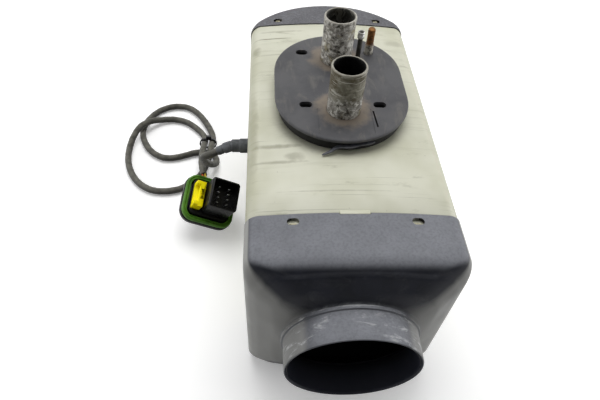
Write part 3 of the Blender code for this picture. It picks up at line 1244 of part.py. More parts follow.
def gland_stations():
    """Axis points and radii of the stepped rubber gland, which droops under the cable's weight."""
    face = -BODY_HALF_WIDTH - SIDE_COVER_PROUD - FIT_GAP
    y = along(GLAND_AT)
    inner_end = face + SIDE_COVER_THICKNESS + 0.0015
    sleeve = face - GLAND_SLEEVE_LENGTH
    step_end = (sleeve - GLAND_STEP_LENGTH * math.cos(GLAND_STEP_DROOP),
                AXIS_HEIGHT - GLAND_STEP_LENGTH * math.sin(GLAND_STEP_DROOP))
    tail_end = (step_end[0] - GLAND_TAIL_LENGTH * math.cos(GLAND_TAIL_DROOP),
                step_end[1] - GLAND_TAIL_LENGTH * math.sin(GLAND_TAIL_DROOP))
    hair = 0.00012
    return [
        (Vector((inner_end, y, AXIS_HEIGHT)), GLAND_NECK),
        (Vector((face, y, AXIS_HEIGHT)), GLAND_NECK),
        (Vector((face - hair, y, AXIS_HEIGHT)), GLAND_RADIUS),
        (Vector((sleeve, y, AXIS_HEIGHT)), GLAND_RADIUS * 0.96),
        (Vector((sleeve - hair, y, AXIS_HEIGHT)), GLAND_STEP_RADIUS),
        (Vector((step_end[0], y, step_end[1])), GLAND_STEP_RADIUS),
        (Vector((step_end[0] - hair, y, step_end[1] - hair / 2)), GLAND_TAIL_RADIUS),
        (Vector((tail_end[0], y, tail_end[1])), GLAND_TAIL_RADIUS),
    ]


def cable_gland():
    """Stepped rubber sleeve through the side cover."""
    stations = gland_stations()
    widest = max(radius for _, radius in stations)
    return tube("cable_gland", [p for p, _ in stations], widest, SEAL_RUBBER,
                [radius / widest for _, radius in stations], 3)



def smooth_route(points, step):
    """Even steps along a smooth curve through hand-chosen points."""
    knots = [points[0] * 2 - points[1]] + list(points) + [points[-1] * 2 - points[-2]]
    fine = []
    for a, b, c, d in zip(knots, knots[1:], knots[2:], knots[3:]):
        for i in range(24):
            t = i / 24
            fine.append(0.5 * (2 * b + (c - a) * t + (2 * a - 5 * b + 4 * c - d) * t ** 2
                               + (3 * b - a - 3 * c + d) * t ** 3))
    fine.append(points[-1])
    lengths = [0.0]
    for first, second in zip(fine, fine[1:]):
        lengths.append(lengths[-1] + (second - first).length)
    count = max(2, round(lengths[-1] / step))
    wanted = np.linspace(0, lengths[-1], count + 1)
    columns = [np.interp(wanted, lengths, [p[axis] for p in fine]) for axis in range(3)]
    return [Vector(values) for values in zip(*columns)], lengths[-1]


def least_gap(points, radius):
    """Least gap between stretches of a cord that aren't neighbours."""
    best = 1.0
    skip = int(6 * radius / (points[1] - points[0]).length) + 2
    for i, first in enumerate(points):
        for second in points[i + skip:]:
            best = min(best, (first - second).length - 2 * radius)
    return best


def harness():
    """Taped harness: out of the gland, two open turns on the table and up to the plug."""
    stations = gland_stations()
    leaving = (stations[-1][0] - stations[-2][0]).normalized()
    start = stations[-1][0] + leaving * FIT_GAP
    route = [start, start + leaving * HARNESS_DIAMETER] + [Vector(p) for p in HARNESS_ROUTE]
    points, length = smooth_route(route, HARNESS_STEP)
    radius = HARNESS_DIAMETER / 2
    fine, _ = smooth_route(route, 0.001)
    gap = least_gap(fine, radius)
    print(f"harness: {length * 1000:.0f} mm long, least gap to itself {gap * 1000:.2f} mm")
    tube("cable_harness", points, radius, HARNESS_TAPE, resolution=3)
    return points


def cable_tie():
    """Band round both runs of the harness, with its head on top."""
    middle = (Vector(HARNESS_ROUTE[TIE_AT]) + Vector(HARNESS_ROUTE[TIE_NEIGHBOUR])) / 2
    run = (Vector(HARNESS_ROUTE[TIE_AT + 1]) - Vector(HARNESS_ROUTE[TIE_AT - 1])).normalized()
    run.x = 0
    run.normalize()
    half = abs(HARNESS_ROUTE[TIE_AT][0] - HARNESS_ROUTE[TIE_NEIGHBOUR][0]) / 2
    inner = HARNESS_DIAMETER / 2 + FIT_GAP + 0.0003
    across = Vector((1, 0, 0))
    up = run.cross(across)
    if up.z < 0:
        run, up = -run, -up
    frame = Matrix.Translation(middle) @ Matrix((across, up, run)).transposed().to_4x4()

    def oval(radius):
        return (arc(half, 0, radius, -math.pi / 2, math.pi / 2, 10)
                + arc(-half, 0, radius, math.pi / 2, math.pi * 1.5, 10))

    band = plate("cable_tie", [oval(inner + TIE_THICKNESS), oval(inner)], TIE_WIDTH, BLACK_PLASTIC, frame)
    head = block("tie head", (-0.0015, inner + TIE_THICKNESS / 2, -0.0030), (0.0040, inner + 0.0042, 0.0030),
                 frame=frame)
    return fuse(band, head)


def plug_frame():
    """Frame of the plug: X across, Y up its face, Z out of its face."""
    normal = PLUG_NORMAL.normalized()
    right = (PLUG_RIGHT - normal * PLUG_RIGHT.dot(normal)).normalized()
    up = normal.cross(right)
    return Matrix.Translation(PLUG_CENTRE) @ Matrix((right, up, normal)).transposed().to_4x4()


def plug_plate(name, outlines, low, high, finish, bevel=0.0):
    """Flat piece of the plug between two heights over its face."""
    frame = plug_frame() @ Matrix.Translation((0, 0, (low + high) / 2))
    piece = plate(name, outlines, high - low, finish, frame)
    if bevel:
        rounding = piece.modifiers.new("rounded edges", "BEVEL")
        rounding.width = bevel
        rounding.segments = 2
        rounding.limit_method = "ANGLE"
        rounding.angle_limit = math.radians(50)
    return piece


def plug():
    """Flange plug: sealed flange with its back box, connector base, housing and yellow lock."""
    flange = plug_plate("plug_flange", [rounded_rectangle(PLUG_WIDTH, PLUG_HEIGHT, PLUG_CORNER)],
                        -PLUG_FLANGE_THICKNESS, 0, BLACK_PLASTIC, 0.0008)
    back = plug_plate("plug back box", [rounded_rectangle(PLUG_BACK_WIDTH, PLUG_BACK_HEIGHT, 0.004, 3)],
                      -PLUG_FLANGE_THICKNESS - PLUG_BACK_DEPTH, -PLUG_FLANGE_THICKNESS / 2, BLACK_PLASTIC)
    fuse(flange, back)
    edge = 0.0006
    outer = (PLUG_WIDTH - 2 * edge, PLUG_HEIGHT - 2 * edge)
    inner = (outer[0] - 2 * PLUG_SEAL_WIDTH, outer[1] - 2 * PLUG_SEAL_WIDTH)
    plug_plate("plug_seal", [rounded_rectangle(*outer, PLUG_CORNER - edge),
                             rounded_rectangle(*inner, PLUG_CORNER - edge - PLUG_SEAL_WIDTH)],
               FIT_GAP, FIT_GAP + PLUG_SEAL_HEIGHT, GREEN_RUBBER, 0.0013)
    base = plug_plate("connector_base", [rounded_rectangle(BASE_WIDTH, BASE_HEIGHT, 0.005)], FIT_GAP,
                      FIT_GAP + BASE_DEPTH, BLACK_PLASTIC)
    lock_x = CONNECTOR_OFFSET - CONNECTOR_WIDTH / 2 - FIT_GAP - 0.0012 - LOCK_WIDTH / 2
    lock_half = LOCK_WIDTH / 2
    lock_foot = LOCK_TRAVEL
    top = FIT_GAP + BASE_DEPTH
    slot_low = top - lock_foot - FIT_GAP
    frame = plug_frame()
    cut(base, block("lock slot", (lock_x - lock_half - FIT_GAP, -LOCK_HEIGHT / 2 - FIT_GAP, slot_low),
                    (lock_x + lock_half + FIT_GAP, LOCK_HEIGHT / 2 + FIT_GAP, top + 0.002), frame=frame))
    block("secondary_lock", (lock_x - lock_half, -LOCK_HEIGHT / 2, top - lock_foot),
          (lock_x + lock_half, LOCK_HEIGHT / 2, top + LOCK_DEPTH), YELLOW_PLASTIC, 0.0008, frame)
    low = top + FIT_GAP
    half_width, half_height = CONNECTOR_WIDTH / 2, CONNECTOR_HEIGHT / 2
    housing = block("connector_housing", (CONNECTOR_OFFSET - half_width, -half_height, low),
                    (CONNECTOR_OFFSET + half_width, half_height, low + CONNECTOR_LENGTH), BLACK_PLASTIC,
                    0.0015, frame)
    wall = CONNECTOR_WALL
    cut(housing, block("connector mouth", (CONNECTOR_OFFSET - half_width + wall, -half_height + wall,
                                           low + CONNECTOR_LENGTH - CONNECTOR_MOUTH),
                       (CONNECTOR_OFFSET + half_width - wall, half_height - wall,
                        low + CONNECTOR_LENGTH + 0.002), frame=frame))


def wires(harness_points):
    """Three single wires from the end of the harness into the back box of the plug."""
    end = harness_points[-1]
    leaving = (end - harness_points[-2]).normalized()
    frame = plug_frame()
    target = frame @ Vector((0, PLUG_BACK_HEIGHT / 2 + FIT_GAP,
                             -PLUG_FLANGE_THICKNESS - PLUG_BACK_DEPTH / 2))
    up_face = (frame.to_3x3() @ Vector((0, 1, 0))).normalized()
    across = (frame.to_3x3() @ Vector((1, 0, 0))).normalized()
    side = leaving.cross(Vector((0, 0, 1))).normalized()
    rise = side.cross(leaving).normalized()
    colours = (("wire_orange", ORANGE_PVC), ("wire_yellow", YELLOW_PVC), ("wire_black", BLACK_PLASTIC))
    start = end + leaving * FIT_GAP
    for number, (name, finish) in enumerate(colours):
        angle = math.tau * number / 3 + 0.4
        offset = (side * math.cos(angle) + rise * math.sin(angle)) * 0.0015
        begin = start + offset
        finish_at = target + across * (number - 1) * 0.0032
        route = [begin, begin + leaving * 0.004, finish_at + up_face * 0.006, finish_at]
        points, _ = smooth_route(route, 0.004)
        tube(name, points, WIRE_DIAMETER / 2, finish, resolution=2)


def main():
    """Build every piece of the heater."""
    mounting, cover = body_shells()
    front_hood = outlet_hood()
    rear_hood = intake_hood()
    snaps_and_holes(mounting, cover, front_hood, rear_hood)
    opening = plate("foot opening",
                    [stadium(FOOT_RADIUS + SEAL_FIT, FOOT_FRONT_CENTRE, FOOT_REAR_CENTRE)], 0.04,
                    BEIGE_PLASTIC, Matrix.Translation((0, 0, BODY_HEIGHT)))
    cut(mounting, opening)
    side_cover(mounting, cover)
    intake_grille()
    flange_seal()
    heat_exchanger()
    burner()
    blower_housing()
    motor()
    combustion_impeller()
    fan_wheel()
    pipes_and_stud()
    control_unit()
    overheat_sensor()
    screws()
    cable_gland()
    points = harness()
    cable_tie()
    plug()
    wires(points)


main()
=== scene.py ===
"""Looks of the truck air heater: studio, cable, dressed CAD pieces, and finer moulded and corroded ones."""

from __future__ import annotations

import json
import logging
import math
import sys
from collections.abc import Callable, Sequence
from dataclasses import dataclass, field
from enum import Enum

import bmesh
import bpy
from mathutils import Matrix, Vector, noise

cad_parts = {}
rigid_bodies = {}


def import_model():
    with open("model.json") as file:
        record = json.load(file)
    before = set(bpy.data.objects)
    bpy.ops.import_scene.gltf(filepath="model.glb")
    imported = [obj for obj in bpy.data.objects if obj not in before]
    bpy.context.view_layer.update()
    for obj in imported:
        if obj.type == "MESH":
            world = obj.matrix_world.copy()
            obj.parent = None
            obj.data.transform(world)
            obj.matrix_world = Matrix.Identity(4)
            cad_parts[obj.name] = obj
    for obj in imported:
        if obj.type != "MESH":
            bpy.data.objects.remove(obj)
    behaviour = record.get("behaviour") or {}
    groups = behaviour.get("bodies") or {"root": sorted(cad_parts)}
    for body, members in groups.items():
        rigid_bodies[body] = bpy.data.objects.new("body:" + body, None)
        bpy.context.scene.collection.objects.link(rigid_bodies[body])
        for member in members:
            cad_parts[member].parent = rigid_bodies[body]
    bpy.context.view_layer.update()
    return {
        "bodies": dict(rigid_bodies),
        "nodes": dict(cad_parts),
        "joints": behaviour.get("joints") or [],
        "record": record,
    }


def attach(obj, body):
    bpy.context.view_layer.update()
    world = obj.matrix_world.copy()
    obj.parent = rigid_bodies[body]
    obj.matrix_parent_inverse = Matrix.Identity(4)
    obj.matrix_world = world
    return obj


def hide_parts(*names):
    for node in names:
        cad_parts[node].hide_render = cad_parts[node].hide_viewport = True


Outline = list[tuple[float, float]]
Ring = list[Vector]

log = logging.getLogger("truck_air_heater")

# Sizes that the finer pieces repeat from the part's source
TOTAL_LENGTH = 0.371
AXIS_HEIGHT = 0.070
BODY_HALF = 0.0695
BODY_TOP = 0.1393
HOOD_HALF = 0.0700
HOOD_TOP = 0.1398
CROWN = 0.003
CORNER = 0.011
PARTING = 0.069
SHELL_WALL = 0.0025
HOOD_WALL = 0.0023
COLLAR_INSET = 0.0028
GAP = 0.0003
FRONT_JOINT = 0.0745
REAR_JOINT = 0.2975
SPIGOT = 0.045
SEAL_TOP = 0.150
FOOT_TOP = 0.1451
PIPE_TOP = 0.186
FRONT_SNAP = (0.0391, 0.0683)
REAR_SNAP = (0.0449, 0.3049)
EXHAUST_AT = 0.1632
AIR_PIPE_AT = 0.2270
PIPE_BORE = 0.0106
FUEL_PIPE = (0.0175, 0.2273)
STUD_PLACES = ((-0.027, 0.168), (0.027, 0.168), (-0.027, 0.2348), (0.027, 0.2348))
STUD_COLLAR = 0.1585
FOOT_ENDS = (0.178, 0.211)
FOOT_OPENING = 0.0403
BODY = "heater"


def along(station: float) -> float:
    """Row Y of a station, the distance from the outlet rim."""
    return station - TOTAL_LENGTH / 2


# Shaders


def linear(colour: str) -> tuple[float, float, float, float]:
    """Turn an sRGB hex value into linear red, green, blue and alpha.

    Args:
        colour: Six hex digits after a hash.

    Returns:
        The linear colour, opaque.
    """
    parts = [int(colour[i:i + 2], 16) / 255 for i in (1, 3, 5)]
    values = [p / 12.92 if p <= 0.04045 else ((p + 0.055) / 1.055) ** 2.4 for p in parts]
    return values[0], values[1], values[2], 1.0


def add_node(tree: bpy.types.NodeTree, kind: str, inputs: dict | None = None, **settings) -> bpy.types.Node:
    """Add a shader node with its settings, values and links.

    Args:
        tree: Node tree that gets the node.
        kind: Blender's name of the node type.
        inputs: Value or source socket for each input, by name or number.
        settings: Attributes of the node.

    Returns:
        The new node.
    """
    node = tree.nodes.new(kind)
    for name, value in settings.items():
        setattr(node, name, value)
    for key, value in (inputs or {}).items():
        socket = node.inputs[key]
        if isinstance(value, bpy.types.NodeSocket):
            tree.links.new(value, socket)
        else:
            socket.default_value = value
    return node


class Weave(Enum):
    """What a pattern follows."""

    OBJECT = "Object"
    UV = "UV"


@dataclass
class Painter:
    """Builds one node-based material step by step."""

    name: str
    tree: bpy.types.NodeTree = field(init=False)
    shader: bpy.types.Node = field(init=False)
    material: bpy.types.Material = field(init=False)

    def __post_init__(self) -> None:
        """Start the material with its shader and output."""
        self.material = bpy.data.materials.new(self.name)
        self.material.use_nodes = True
        self.tree = self.material.node_tree
        self.tree.nodes.clear()
        self.shader = add_node(self.tree, "ShaderNodeBsdfPrincipled")
        add_node(self.tree, "ShaderNodeOutputMaterial", {"Surface": self.shader.outputs["BSDF"]})

    def place(self, scale: Sequence[float] = (1, 1, 1), at: Sequence[float] = (0, 0, 0),
              turn: Sequence[float] = (0, 0, 0), weave: Weave = Weave.OBJECT) -> bpy.types.NodeSocket:
        """Coordinates of a pattern, stretched, moved and turned."""
        source = add_node(self.tree, "ShaderNodeTexCoord").outputs[weave.value]
        inputs = {"Vector": source, "Location": at, "Rotation": turn, "Scale": scale}
        return add_node(self.tree, "ShaderNodeMapping", inputs).outputs["Vector"]

    def noise(self, size_mm: float, detail: float = 4.0, rough: float = 0.55,
              vector: bpy.types.NodeSocket | None = None, warp: float = 0.0) -> bpy.types.NodeSocket:
        """Noise whose blotches measure about size_mm.

        Args:
            size_mm: Size of a blotch.
            detail: Octaves.
            rough: Strength of the finer octaves.
            vector: Coordinates, the object's own if none are given.
            warp: Distortion.

        Returns:
            Socket from 0 to 1.
        """
        inputs = {"Scale": 1000 / size_mm, "Detail": detail, "Roughness": rough, "Distortion": warp,
                  "Vector": vector or self.place()}
        return add_node(self.tree, "ShaderNodeTexNoise", inputs).outputs["Fac"]

    def ramp(self, value: bpy.types.NodeSocket, low: float, high: float, start: float = 0.0,
             end: float = 1.0) -> bpy.types.NodeSocket:
        """Value from low to high, mapped smoothly to start to end and held there."""
        return add_node(self.tree, "ShaderNodeMapRange", {0: value, 1: low, 2: high, 3: start, 4: end},
                        interpolation_type="SMOOTHSTEP").outputs[0]

    def maths(self, operation: str, first, second=0.5) -> bpy.types.NodeSocket:
        """One sum with two values."""
        return add_node(self.tree, "ShaderNodeMath", {0: first, 1: second}, operation=operation).outputs[0]

    def inward(self, x: float, z: float) -> bpy.types.NodeSocket:
        """One where a surface faces a line along Y through x and z, nought where it faces away.

        Args:
            x: Where the line runs across.
            z: How high the line runs.

        Returns:
            Socket of 0 or 1.
        """
        away = self.maths("MULTIPLY", self.maths("SUBTRACT", self.coordinate("X"), x), self.facing("X"))
        above = self.maths("MULTIPLY", self.maths("SUBTRACT", self.coordinate("Z"), z), self.facing("Z"))
        return self.maths("LESS_THAN", self.maths("ADD", away, above), -0.001)

    def patch(self, x: float, y: float, half_x: float, half_y: float) -> bpy.types.NodeSocket:
        """Soft-edged oval stain seen from above, with a ragged border.

        Args:
            x: Its middle across.
            y: Its middle along.
            half_x: Half its width.
            half_y: Half its length.

        Returns:
            Socket from 0 to 1.
        """
        across = self.maths("DIVIDE", self.maths("SUBTRACT", self.coordinate("X"), x), half_x)
        along_y = self.maths("DIVIDE", self.maths("SUBTRACT", self.coordinate("Y"), y), half_y)
        spread = self.maths("ADD", self.maths("MULTIPLY", across, across),
                            self.maths("MULTIPLY", along_y, along_y))
        ragged = self.maths("ADD", spread, self.maths("MULTIPLY", self.noise(6, 4), 1.2))
        return self.ramp(ragged, 1.5, 0.5)

    def mix(self, share, first, second) -> bpy.types.NodeSocket:
        """Blend two colours, given as sockets or hex values."""
        pair = [linear(c) if isinstance(c, str) else c for c in (first, second)]
        return add_node(self.tree, "ShaderNodeMix", {"Factor": share, 6: pair[0], 7: pair[1]},
                        data_type="RGBA").outputs[2]

    def tinted(self, colour, value: bpy.types.NodeSocket, low: float, high: float, tint,
               share: float = 1.0) -> bpy.types.NodeSocket:
        """A colour that takes up a share of a tint where a value goes from low to high."""
        return self.mix(self.ramp(value, low, high, 0, share), colour, tint)

    def facing(self, axis: str) -> bpy.types.NodeSocket:
        """How far the surface faces along an object axis, from -1 to 1."""
        normal = add_node(self.tree, "ShaderNodeNewGeometry").outputs["Normal"]
        return add_node(self.tree, "ShaderNodeSeparateXYZ", {0: normal}).outputs[axis]

    def coordinate(self, axis: str) -> bpy.types.NodeSocket:
        """Object coordinate along an axis, in metres."""
        return add_node(self.tree, "ShaderNodeSeparateXYZ", {0: self.place()}).outputs[axis]

    def from_axis(self, x: float, y: float) -> bpy.types.NodeSocket:
        """Distance from an upright axis, in metres."""
        flat = self.place(scale=(1, 1, 0), at=(-x, -y, 0))
        return add_node(self.tree, "ShaderNodeVectorMath", {0: flat}, operation="LENGTH").outputs["Value"]

    def bump(self, *layers: tuple[bpy.types.NodeSocket, float]) -> None:
        """Relief from layers of height and depth in millimetres."""
        normal = None
        for height, depth_mm in layers:
            inputs = {"Height": height, "Distance": depth_mm / 1000, "Strength": 1.0}
            if normal:
                inputs["Normal"] = normal
            normal = add_node(self.tree, "ShaderNodeBump", inputs).outputs["Normal"]
        self.tree.links.new(normal, self.shader.inputs["Normal"])

    def finish(self, colour, roughness, metallic: float = 0.0, **sockets) -> bpy.types.Material:
        """Set the shader's own sockets and return the material."""
        values = {"Base Color": linear(colour) if isinstance(colour, str) else colour,
                  "Roughness": roughness, "Metallic": metallic}
        values.update({name.replace("_", " "): value for name, value in sockets.items()})
        for name, value in values.items():
            socket = self.shader.inputs[name]
            if isinstance(value, bpy.types.NodeSocket):
                self.tree.links.new(value, socket)
            else:
                socket.default_value = value
        return self.material


@dataclass(frozen=True)
class Finish:
    """A real material and how its surface was made; this one suits small and inner pieces."""

    name: str
    base: str
    second: str
    roughness: float
    metallic: float = 0.0
    tone_mm: float = 9.0
    grain_mm: float = 0.6
    grain_depth_mm: float = 0.02
    shine: float = 0.5

    def material(self) -> bpy.types.Material:
        """The finish's material, built on its first use."""
        return bpy.data.materials.get(self.name) or self.paint(Painter(self.name))

    def paint(self, painter: Painter) -> bpy.types.Material:
        """Two tones, a fine grain and uneven gloss."""
        tone = painter.noise(self.tone_mm)
        colour = painter.tinted(self.base, tone, 0.35, 0.68, self.second)
        gloss = painter.ramp(tone, 0.3, 0.7, self.roughness - 0.07, self.roughness + 0.1)
        painter.bump((painter.noise(self.grain_mm, 3), self.grain_depth_mm))
        return painter.finish(colour, gloss, self.metallic, Specular_IOR_Level=self.shine)


@dataclass(frozen=True)
class DustyShell(Finish):
    """Moulded beige-grey polyamide: satin, yellowed, with cross-wise dirt streaks and rubbed scratches."""

    stains: tuple[tuple[float, float, float, float, float], ...] = ()

    def paint(self, painter: Painter) -> bpy.types.Material:
        """Streaks run across the shell, and its sides are painted darker as painted shade."""
        cloudy = painter.noise(42, 3)
        colour = painter.tinted(self.base, cloudy, 0.35, 0.7, self.second)
        streaks = painter.noise(1000, 7, 0.62, painter.place(scale=(14, 190, 40)), 0.25)
        colour = painter.tinted(colour, streaks, 0.52, 0.76, "#8b8a6c", 0.30)
        for x, y, half_x, half_y, share in self.stains:
            mark = painter.maths("MULTIPLY", painter.patch(x, along(y), half_x, half_y), share)
            colour = painter.mix(mark, colour, "#6b6648")
        smudge = painter.noise(16, 5, 0.7, painter.place(scale=(0.5, 1.6, 1)), 0.4)
        colour = painter.tinted(colour, smudge, 0.58, 0.75, "#77765c", 0.4)
        scratch = painter.noise(1000, 3, 0.5, painter.place(scale=(9, 900, 60), turn=(0, 0, 0.05)), 0.1)
        colour = painter.tinted(colour, scratch, 0.66, 0.72, "#6d6b53", 0.4)
        specks = painter.noise(2.2, 2)
        colour = painter.tinted(colour, specks, 0.74, 0.80, "#4d4a3a", 0.65)
        # Painted shade: faces that turn sideways are darkened
        side = painter.maths("ABSOLUTE", painter.facing("X"), 0)
        colour = painter.tinted(colour, side, 0.25, 0.95, "#8f8f72", 0.55)
        painter.bump((painter.noise(0.9, 2), 0.02), (scratch, 0.03))
        gloss = painter.ramp(smudge, 0.4, 0.75, self.roughness, self.roughness + 0.16)
        return painter.finish(colour, gloss)


@dataclass(frozen=True)
class ScuffedHood(Finish):
    """Moulded slate-grey glass-filled polyamide: fine spark grain, dust on top that is partly painted light,
    side facets painted lighter as a painted reflection, pale rubbed scuffs on the spigot and painted shade
    inside it.
    """

    rubbed_before: float = -1.0
    # dust: colour of the dust on top, partly painted light from above
    dust: str = "#85878d"
    # side: colour of the sideways facets, painted light as if they reflected the white table
    side: str = "#92928f"

    def paint(self, painter: Painter) -> bpy.types.Material:
        """Dust, partly painted light from above, lies on what faces up; facets that face sideways get painted
        light, the spigot is scuffed along its length, and its inside gets painted shade that deepens inward.
        """
        tone = painter.noise(14, 4)
        colour = painter.tinted(self.base, tone, 0.35, 0.7, self.second)
        # Dust on what faces up, partly painted light from above
        up = painter.ramp(painter.facing("Z"), 0.58, 0.90)
        film = painter.ramp(painter.noise(26, 6, 0.6), 0.25, 0.75, 0.72, 0.95)
        dust = painter.maths("MULTIPLY", up, film)
        fine = painter.noise(1.7, 4, 0.6)
        settled = painter.tinted(self.dust, fine, 0.40, 0.70, "#797b81")
        colour = painter.mix(dust, colour, settled)
        # Painted light: facets that face sideways are lightened as a painted reflection of the white table,
        # less on the spigot
        across = painter.maths("ABSOLUTE", painter.facing("X"), 0)
        across = painter.maths("MAXIMUM", across, painter.facing("Y"))
        tilt = painter.maths("SUBTRACT", across, painter.maths("ABSOLUTE", painter.facing("Z"), 0))
        nearby = painter.ramp(painter.coordinate("Y"), self.rubbed_before, self.rubbed_before - 0.002)
        side_painted_light = painter.maths("MULTIPLY", painter.ramp(tilt, -0.10, 0.14, 0, 0.95),
                                 painter.maths("SUBTRACT", 1.0, painter.maths("MULTIPLY", nearby, 0.45)))
        colour = painter.mix(side_painted_light, colour, self.side)
        haze = painter.noise(1000, 6, 0.7, painter.place(scale=(60, 220, 60)), 0.6)
        worn = painter.maths("ADD", painter.maths("MULTIPLY", nearby, 0.96), 0.04)
        scuffs = painter.maths("MULTIPLY", worn, painter.ramp(haze, 0.50, 0.70, 0, 0.8))
        colour = painter.mix(scuffs, colour, "#b9bbbc")
        rim = painter.maths("MULTIPLY", nearby, painter.ramp(painter.facing("Y"), -0.5, -0.9))
        colour = painter.mix(rim, colour, "#66686d")
        # Painted shade: the inside of the spigot darkens the deeper it goes
        depth = painter.ramp(painter.coordinate("Y"), along(0.002), along(0.030))
        hollow = painter.mix(depth, "#30323c", "#040406")
        colour = painter.mix(painter.inward(0.0, AXIS_HEIGHT), colour, hollow)
        painter.bump((painter.noise(0.8, 2), 0.05))
        sheen = painter.ramp(tone, 0.3, 0.7, self.roughness - 0.05, self.roughness + 0.05)
        gloss = painter.maths("ADD", sheen, painter.maths("MULTIPLY", dust, 0.25))
        return painter.finish(colour, gloss, Specular_IOR_Level=self.shine)


@dataclass(frozen=True)
class DirtySeal(Finish):
    """Moulded dark grey silicone rubber: dull, with dust rubbed in and rust round the pipes."""

    pipes: tuple[tuple[float, float], ...] = ()

    def paint(self, painter: Painter) -> bpy.types.Material:
        """Brown rings round the pipes, grey rubbed patches, and painted shade under the lip."""
        tone = painter.noise(18, 5)
        colour = painter.tinted(self.base, tone, 0.35, 0.68, self.second)
        rubbed = painter.noise(1000, 5, 0.65, painter.place(scale=(130, 45, 60)), 0.5)
        colour = painter.tinted(colour, rubbed, 0.50, 0.72, "#716f6b", 0.6)
        patchy = painter.noise(9, 5, 0.65)
        for x, y in self.pipes:
            ring = painter.maths("SUBTRACT", painter.from_axis(x, y),
                                 painter.maths("MULTIPLY", patchy, 0.018))
            colour = painter.tinted(colour, ring, 0.0150, 0.0050, "#85796a", 0.75)
        # Painted shade: the seal below its lip is darkened nearly to black
        below = painter.ramp(painter.coordinate("Z"), SEAL_TOP - 0.0018, SEAL_TOP - 0.0027)
        colour = painter.mix(below, colour, "#0c0c0a")
        painter.bump((painter.noise(1.1, 3), 0.03), (rubbed, 0.05))
        return painter.finish(colour, painter.ramp(rubbed, 0.4, 0.8, self.roughness, self.roughness + 0.2),
                              Specular_IOR_Level=self.shine)


@dataclass(frozen=True)
class CorrodedPipe(Finish):
    """Drawn stainless tube after years on the road: dark scale, white salt, olive stains and brown rust."""

    axis: tuple[float, float] = (0.0, 0.0)
    bore: float = PIPE_BORE
    sooty: bool = True
    crusted_below: float = 1.0

    def paint(self, painter: Painter) -> bpy.types.Material:
        """Crust outside, and soot or scale in the bore."""
        large = painter.noise(9, 6, 0.7, warp=0.8)
        fine = painter.noise(3.4, 7, 0.72, warp=0.5)
        height = painter.coordinate("Z")
        ragged = painter.maths("ADD", height, painter.maths("MULTIPLY", large, 0.024))
        crusted = painter.ramp(ragged, self.crusted_below + 0.0150, self.crusted_below + 0.0080)
        colour = painter.tinted("#5e5a4c", large, 0.38, 0.62, "#8e8b7e")
        stain = painter.noise(13, 4, 0.6, painter.place(at=(0.4, 0.1, 0.3)), 0.5)
        colour = painter.tinted(colour, stain, 0.48, 0.60, "#4c4430", 0.85)
        scratch = painter.noise(1000, 4, 0.6, painter.place(scale=(45, 45, 700)), 0.1)
        colour = painter.tinted(colour, scratch, 0.58, 0.68, "#c9c7be", 0.7)
        salts = painter.tinted("#767269", large, 0.38, 0.62, "#a19e97")
        salts = painter.tinted(salts, fine, 0.50, 0.57, "#d9d7d0", 0.95)
        salts = painter.tinted(salts, fine, 0.44, 0.38, "#2b2925", 0.9)
        yellow = painter.noise(12, 4, 0.6, painter.place(at=(0.9, 0.6, 0.3)), 0.5)
        salts = painter.tinted(salts, yellow, 0.54, 0.64, "#8f8458", 0.65)
        colour = painter.mix(crusted, colour, salts)
        rim = painter.ramp(height, PIPE_TOP - 0.0014, PIPE_TOP - 0.0006, 0, 0.6)
        colour = painter.mix(rim, colour, "#aaa79d")
        inside = painter.ramp(painter.from_axis(*self.axis), self.bore + 0.0007, self.bore + 0.0002)
        if self.sooty:
            colour = painter.mix(inside, colour, "#050505")
        else:
            dark = painter.tinted("#23221f", large, 0.46, 0.52, "#6f6d66")
            colour = painter.mix(painter.maths("MULTIPLY", inside, 0.9), colour, dark)
        painter.bump((large, 0.25), (fine, 0.5))
        return painter.finish(colour, painter.ramp(fine, 0.4, 0.7, 0.5, 0.85), 0.25, Specular_IOR_Level=0.3)


@dataclass(frozen=True)
class RustedThread(Finish):
    """Zinc-plated steel stud: orange rust above, white zinc salts below."""

    change: float = STUD_COLLAR

    def paint(self, painter: Painter) -> bpy.types.Material:
        """Rust above the change of height and salts below it."""
        patches = painter.noise(2.5, 5, 0.7, warp=0.4)
        rust = painter.tinted("#4c3019", patches, 0.35, 0.65, "#99682f")
        salts = painter.tinted("#6e6a61", patches, 0.4, 0.6, "#d0cdc2")
        height = painter.maths("ADD", painter.coordinate("Z"), painter.maths("MULTIPLY", patches, 0.004))
        upper = painter.ramp(height, self.change + 0.0005, self.change + 0.0030)
        painter.bump((patches, 0.25), (painter.noise(0.8, 3), 0.08))
        return painter.finish(painter.mix(upper, salts, rust), 0.75, 0.2)


@dataclass(frozen=True)
class ClothTape(Finish):
    """Woven polyester harness tape, wound half over: dull, hairy, grey where dust has settled."""

    def paint(self, painter: Painter) -> bpy.types.Material:
        """Weave across and along the tape, with dust in it."""
        around = painter.place(scale=(26, 1, 1), weave=Weave.UV)
        inputs = {"Vector": around, "Scale": 3.0, "Distortion": 0.6}
        lines = add_node(painter.tree, "ShaderNodeTexWave", inputs, bands_direction="X").outputs["Fac"]
        tone = painter.noise(12, 5)
        colour = painter.tinted(self.base, tone, 0.35, 0.7, self.second)
        dust = painter.maths("MULTIPLY", painter.ramp(painter.facing("Z"), 0.2, 1.0, 0, 0.7),
                             painter.ramp(painter.noise(5, 5), 0.35, 0.7, 0.3, 1))
        colour = painter.mix(dust, colour, "#77756b")
        fuzz = painter.noise(0.9, 4, 0.7)
        painter.bump((lines, 0.05), (fuzz, 0.15))
        return painter.finish(colour, 0.9, Sheen_Weight=0.25)


PIPE_AXES = ((0.0, along(EXHAUST_AT)), (0.0, along(AIR_PIPE_AT)))

